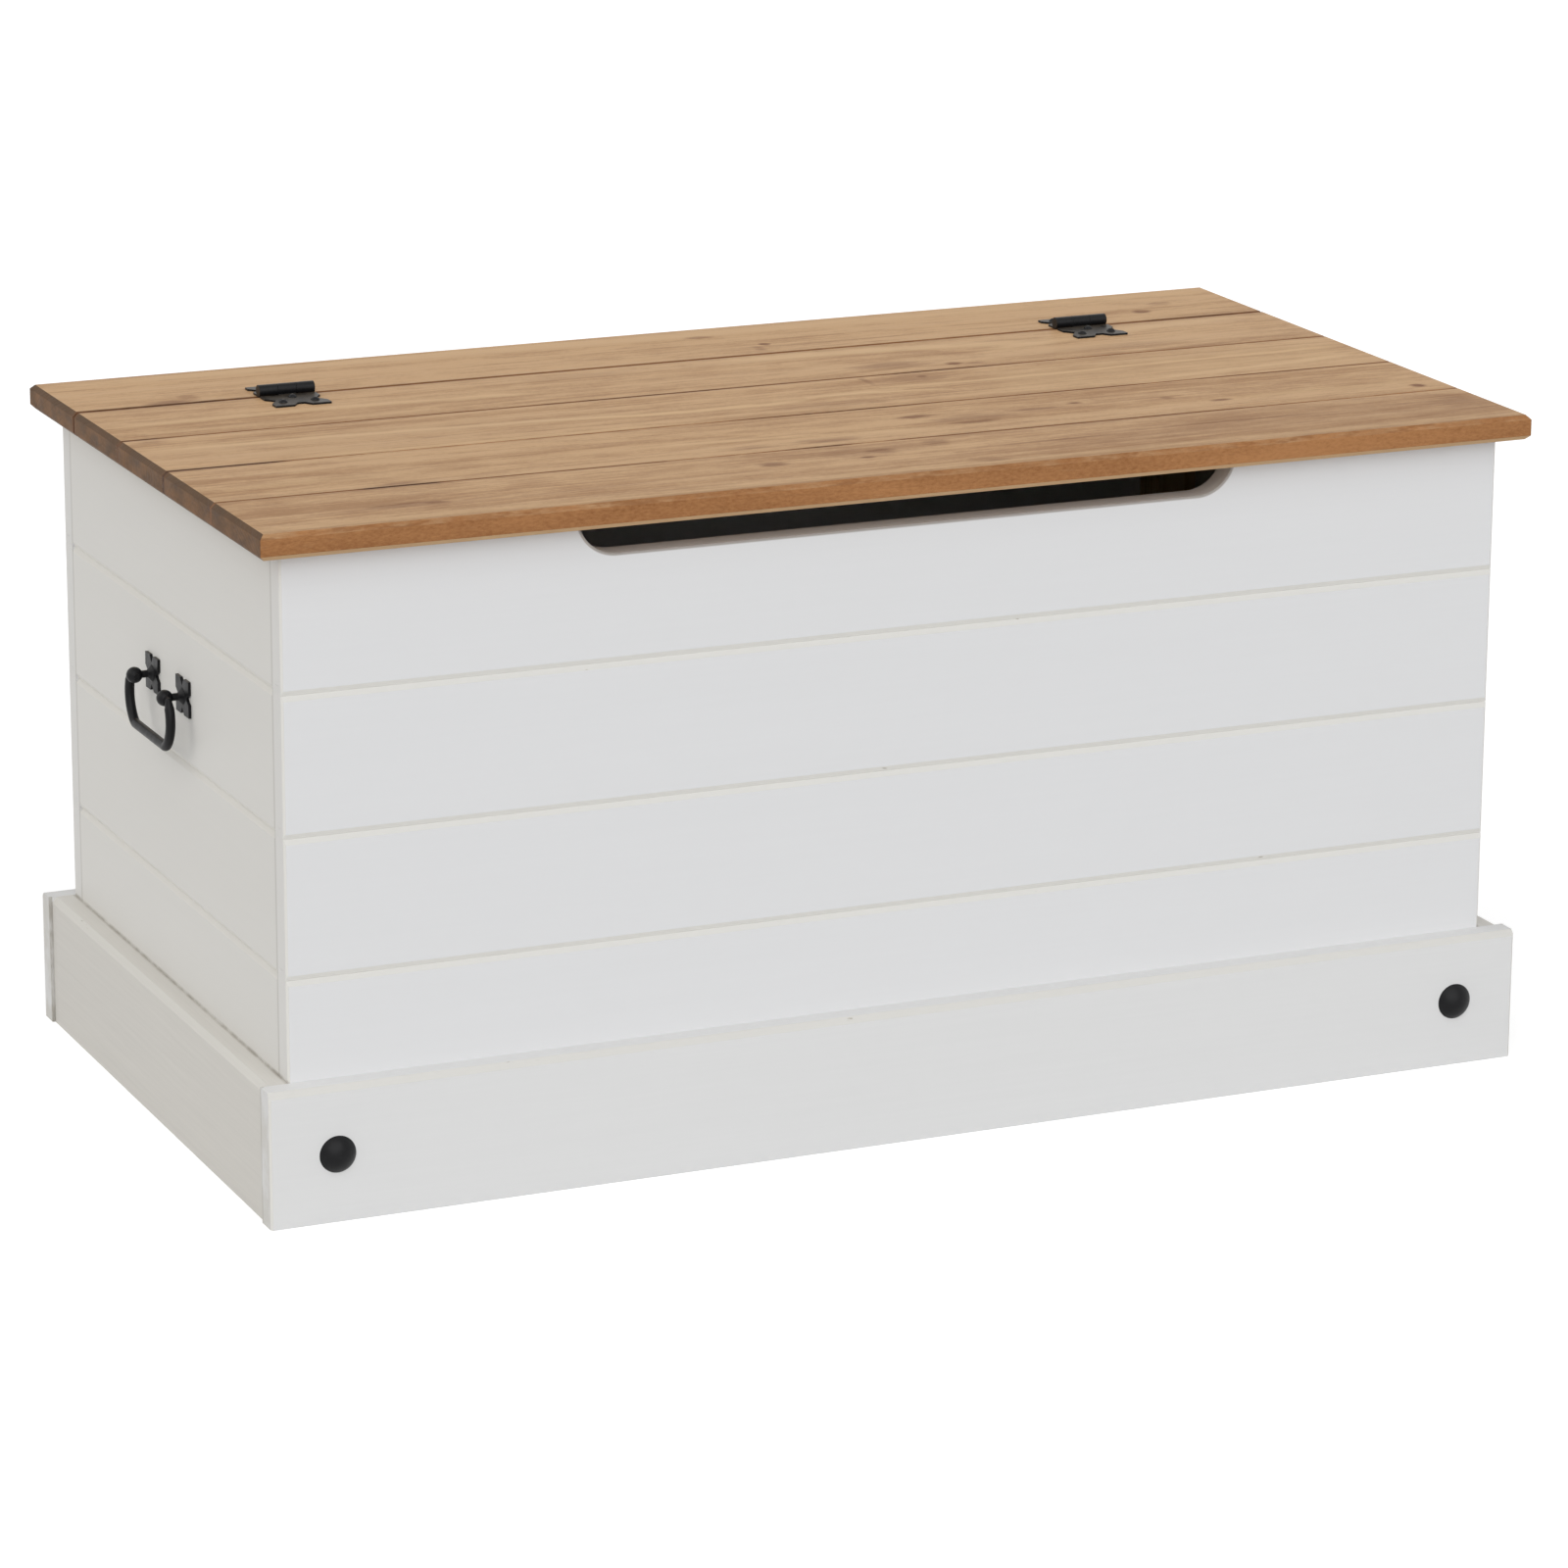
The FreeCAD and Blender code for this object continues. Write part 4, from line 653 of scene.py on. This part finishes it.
dress(bare_pine("X", (3.1, 0.4, 0.6)), ["cleat_front", "cleat_back", "bottom_panel"])
dress(bare_pine("Y", (5.3, 1.4, 0.2)), ["cleat_left", "cleat_right", "lid_batten_left", "lid_batten_right"])
upright = [f"corner_post_{end}_{side}" for end in ("front", "back") for side in ("left", "right")]
dress(bare_pine("Z", (8.8, 2.2, 0.3)), upright + ["rail_dowels"])

# %% [markdown]
# The walls and plinth are brushed with a satin white paint that is thin enough to show the fibres under it.
# Flat white would look like plastic, so the recipe carries faint brush streaks along each board, a slow
# change of tone, and a creamier white on bevels, where paint is thinner. The bevels that face down are
# painted lighter and those that face up darker, a painted light that evens out the shade in the grooves.
# A mask from the face's direction finds the bevels: on a slanted face two parts of the normal are well above
# zero at once. The sawn ends of the plinth boards drink more paint and stay greyer, and the floor of the
# cut-out is greyer, with a painted shadow on the front face just below its edge. A line of dirt gathers in
# the seams between the planks; in the plinth seams and where the side walls meet the plinth the dark line is
# painted shade together with dirt. The side paints are warmer, partly a painted tint of the warmer light on
# the sides, and the ends of the front and back planks take that tint too.

# %% Painted pine for walls and plinth
PAINT_WHITE = (0.745, 0.745, 0.750)
# the side paints are warmer and darker than the front ones; their warmth is partly a painted tint of the
# warmer light on the sides
SIDE_LIGHT_IVORY = (0.728, 0.716, 0.686)
PLINTH_WHITE = (0.735, 0.733, 0.728)
PLINTH_SIDE_LIGHT_IVORY = (0.660, 0.640, 0.600)
PAINT_CREAM = (0.735, 0.718, 0.672)
SEAM_GREY = (0.420, 0.400, 0.360, 1)
NICK_BROWN = (0.300, 0.250, 0.180, 1)
FOOT_SHADE_BROWN = (0.290, 0.255, 0.205, 1)
LIP_GREY = (0.640, 0.600, 0.565, 1)
LIP_FRONT_SHADOW = (0.330, 0.292, 0.264, 1)
END_GREY = (0.560, 0.535, 0.480, 1)

# how strongly a mark covers the paint, as a share
CREAM_SHARE = 0.8
NICK_SHARE = 0.6
SIDE_LIGHT_TINT_SHARE = 0.7
WALL_SEAM_SHARE = 0.40
BOARD_END_SHARE = 0.5
LIP_SHARE = 0.9

# how far a dark line is full and where it ends, in metres: a joint between planks, or painted shade with dirt
WALL_SEAM = (0.0004, 0.0022)
PLINTH_SEAM = (0.0004, 0.0026)
FOOT_LINE = (0.0006, 0.0026)

# the finger cut-out in the top front plank: a flat floor between two round corners
CUT_FLAT = 0.209
CUT_FLOOR = 0.4201
CUT_RADIUS = 0.027
LIP_FULL, LIP_NONE = CUT_RADIUS + 0.0010, CUT_RADIUS + 0.0022

SKIN = 0.0003
PAINT_BUMP = 0.0009
PAINT_EDGE = 0.0006
inner_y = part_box("back_plank_1")[0].y
wall_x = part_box("right_plank_1")[1].x
wall_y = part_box("back_plank_1")[1].y
plinth_side_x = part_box("plinth_right")[1].x
plinth_inner_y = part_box("plinth_back")[0].y
plinth_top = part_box("plinth_right")[1].z


def painted_pine(name, along, seed, paint_colour, brushing):
    """Satin white paint. Brushing is how strongly the brush and the fibres show."""
    finish = Finish(f"painted_pine_{name}")
    grain = finish.vector("ADD", grain_space(finish, along), seed)
    x, y, z = finish.sizes(finish.place)
    nx, ny, nz = finish.sizes(finish.facing)
    front, up = finish.split(finish.place)[1], finish.split(finish.facing)[2]
    brush = finish.cloud(grain, (7, 330, 330), 4.0, 0.65)
    broad = finish.cloud(grain, (1.6, 24, 24), 3.0, 0.5)
    tones = finish.plus(finish.times(brush, 0.6), finish.times(broad, 0.4))
    light = finish.plus(1.0 - NOISE_MIDDLE * brushing, finish.times(tones, brushing))
    paint = finish.shade(paint_colour, light)

    slant = finish.plus(finish.times(nx, ny), finish.times(nz, finish.plus(nx, ny)))
    bevel = finish.ease(slant, 0.10, 0.40)
    # bevels facing down are painted lighter and bevels facing up darker: painted light that evens out the
    # shade in the grooves
    cream_and_painted_light = finish.shade(PAINT_CREAM, finish.minus(1.02, finish.times(up, 0.18)))
    paint = finish.mix(finish.times(bevel, CREAM_SHARE), paint, cream_and_painted_light)
    chips = finish.cloud(grain, (70, 280, 280), 2.0, 0.6)
    nicks = finish.times(finish.ease(chips, 0.72, 0.78), bevel)
    paint = finish.mix(finish.times(nicks, NICK_SHARE), paint, NICK_BROWN)

    beside_wall = finish.off(x, wall_x)
    outer = finish.calc("LESS_THAN", beside_wall, SKIN)
    square_end = finish.ease(nx, 0.8, 0.95)
    # the ends of the front and back planks get the warmer side paint: a painted tint of the warmer light on
    # the sides
    side_light_tint = finish.times(square_end, outer)
    paint = finish.mix(finish.times(side_light_tint, SIDE_LIGHT_TINT_SHARE), paint, (*SIDE_LIGHT_IVORY, 1))
    seam = finish.near(finish.off(y, inner_y), *WALL_SEAM)
    paint = finish.mix(finish.times(finish.times(seam, outer), WALL_SEAM_SHARE), paint, SEAM_GREY)

    ragged = finish.ease(finish.cloud(finish.place, (60, 60, 45), 3.0, 0.6), 0.35, 0.65)
    # the dark line in the plinth seam is painted shade of the gap there, with dirt along it
    plinth_seam = finish.near(finish.off(y, plinth_inner_y), *PLINTH_SEAM)
    plinth_outer = finish.calc("GREATER_THAN", x, plinth_side_x - SKIN)
    seam_shade_and_dirt = finish.plus(0.40, finish.times(ragged, 0.55))
    paint = finish.mix(finish.times(plinth_seam, finish.times(plinth_outer, seam_shade_and_dirt)), paint, SEAM_GREY)
    # where the side walls meet the plinth a thin brown line is painted: shade in the crease, with dirt along
    # it
    foot = finish.near(finish.plus(finish.off(z, plinth_top), beside_wall), *FOOT_LINE)
    foot = finish.times(foot, finish.calc("LESS_THAN", y, wall_y))
    foot_shade_and_dirt = finish.plus(0.20, finish.times(ragged, 0.35))
    paint = finish.mix(finish.times(foot, foot_shade_and_dirt), paint, FOOT_SHADE_BROWN)
    board_end = finish.times(square_end, finish.calc("GREATER_THAN", x, plinth_side_x + SKIN))
    paint = finish.mix(finish.times(board_end, finish.times(ragged, BOARD_END_SHARE)), paint, END_GREY)

    beyond = finish.calc("MAXIMUM", finish.minus(x, CUT_FLAT), 0.0)
    below = finish.minus(CUT_FLOOR + CUT_RADIUS, z)
    from_cut = finish.calc("SQRT", finish.plus(finish.square(beyond), finish.square(below)))
    lip = finish.near(from_cut, LIP_FULL, LIP_NONE)
    lip = finish.times(lip, finish.calc("LESS_THAN", front, -inner_y + SKIN))
    # the floor of the cut-out is greyer, and the front face just below its edge gets a painted shadow
    lip_grey_and_shadow = finish.mix(finish.ease(ny, 0.4, 0.8), LIP_GREY, LIP_FRONT_SHADOW)
    paint = finish.mix(finish.times(lip, LIP_SHARE), paint, lip_grey_and_shadow)

    roughness = finish.plus(0.46, finish.times(broad, 0.16))
    return finish.done(paint, roughness, tones, PAINT_BUMP * brushing, PAINT_EDGE, Specular_IOR_Level=0.3)


walls_along_x = painted_pine("front_and_back", "X", (0.0, 0.0, 0.0), PAINT_WHITE, 0.035)
walls_along_y = painted_pine("sides", "Y", (6.0, 3.0, 0.0), SIDE_LIGHT_IVORY, 0.110)
plinth_along_x = painted_pine("plinth_front_and_back", "X", (2.0, 7.0, 0.0), PLINTH_WHITE, 0.060)
plinth_along_y = painted_pine("plinth_sides", "Y", (4.0, 9.0, 0.0), PLINTH_SIDE_LIGHT_IVORY, 0.240)
for side, wall, plinth in (
    ("front", walls_along_x, plinth_along_x),
    ("back", walls_along_x, plinth_along_x),
    ("left", walls_along_y, plinth_along_y),
    ("right", walls_along_y, plinth_along_y),
):
    dress(wall, [f"{side}_plank_{order}" for order in range(1, 5)])
    dress(plinth, [f"plinth_{side}"])

# %% [markdown]
# Hinges, handles and studs are cheap cast and pressed iron under a baked black paint. Up close such paint is
# never smooth: it has a fine pebble from the spray and slow lumps from the casting. Edges that hands rub show
# a little grey. Faces that look up are painted a lighter brown, partly dust and partly a painted sheen of the
# bright sky above them. Fresnel in the Principled shader gives the soft sheen, so colour stays dark.

# %% Black iron
IRON_BLACK = (0.0060, 0.0060, 0.0068, 1)
IRON_WORN = (0.034, 0.034, 0.036, 1)
IRON_DUST_AND_SHEEN = (0.046, 0.037, 0.028, 1)
WORN_SHARE = 0.6
RUBBED_EDGE = 0.0009
IRON_BUMP = 0.00022
IRON_EDGE = 0.0005


def black_iron():
    """Baked black paint on iron, worn grey on its edges."""
    finish = Finish("baked_black_iron")
    pebble = finish.cloud(finish.place, (1400, 1400, 1400), 2.0, 0.6)
    lumps = finish.cloud(finish.place, (160, 160, 160), 3.0, 0.5)
    rubbed_normal = finish.add("Bevel", RUBBED_EDGE, samples=BEVEL_SAMPLES).outputs[0]
    flat_normal = finish.add("NewGeometry").outputs["Normal"]
    turned = finish.add("VectorMath", rubbed_normal, flat_normal, operation="DOT_PRODUCT").outputs["Value"]
    edge = finish.ease(finish.minus(1.0, turned), 0.02, 0.14)
    worn = finish.times(edge, finish.ease(lumps, 0.40, 0.65))
    colour = finish.mix(finish.times(worn, WORN_SHARE), IRON_BLACK, IRON_WORN)
    # faces that look up get a lighter brown: partly dust, partly a painted sheen of the sky they mirror
    up = finish.split(finish.facing)[2]
    dust_and_sheen = finish.times(finish.ease(up, 0.90, 0.99), finish.ease(lumps, 0.25, 0.60))
    colour = finish.mix(dust_and_sheen, colour, IRON_DUST_AND_SHEEN)
    roughness = finish.plus(0.29, finish.times(lumps, 0.20))
    height = finish.plus(finish.times(pebble, 0.3), lumps)
    return finish.done(colour, roughness, height, IRON_BUMP, IRON_EDGE, Specular_IOR_Level=0.17)


fittings = ["plinth_studs", "rail_leaf_screws", "lid_leaf_screws"]
for side in ("left", "right"):
    fittings += [f"{side}_hinge_{part}" for part in ("rail_leaf", "lid_leaf", "pin")]
    fittings += [f"{side}_handle_{part}" for part in ("plates", "posts", "bail")]
dress(black_iron(), fittings)

# %% [markdown]
# The screws and nuts inside the trunk are zinc-plated steel, which is a metal: it has no colour of its own
# beyond what it mirrors, so the recipe sets Metallic to 1 and lets soft smears change tone and roughness.

# %% Plated screws
ZINC = (0.560, 0.550, 0.520, 1)
ZINC_DULL = (0.400, 0.395, 0.380, 1)
ZINC_BUMP = 0.00005
ZINC_EDGE = 0.0004


def zinc_plate():
    """Zinc plating with dull smears."""
    finish = Finish("zinc_plate")
    smears = finish.cloud(finish.place, (300, 300, 300), 3.0, 0.6)
    colour = finish.mix(finish.ease(smears, 0.35, 0.70), ZINC, ZINC_DULL)
    roughness = finish.plus(0.26, finish.times(smears, 0.25))
    return finish.done(colour, roughness, smears, ZINC_BUMP, ZINC_EDGE, Metallic=1.0)


inside_steel = ["post_screws", "base_screws", "batten_screws", "left_handle_nuts", "right_handle_nuts"]
dress(zinc_plate(), inside_steel)

# %% [markdown]
# The last cell compares the dressed trunk's box with the frame's box, because finishes do not change the
# object's size.

# %% Compare the boxes and finish
dressed_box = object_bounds()
growth = max(abs(after - before) for old, new in zip(cad_box, dressed_box) for before, after in zip(old, new))
print(f"the dressed trunk differs from the frame by {growth * 1000:.2f} mm at most")
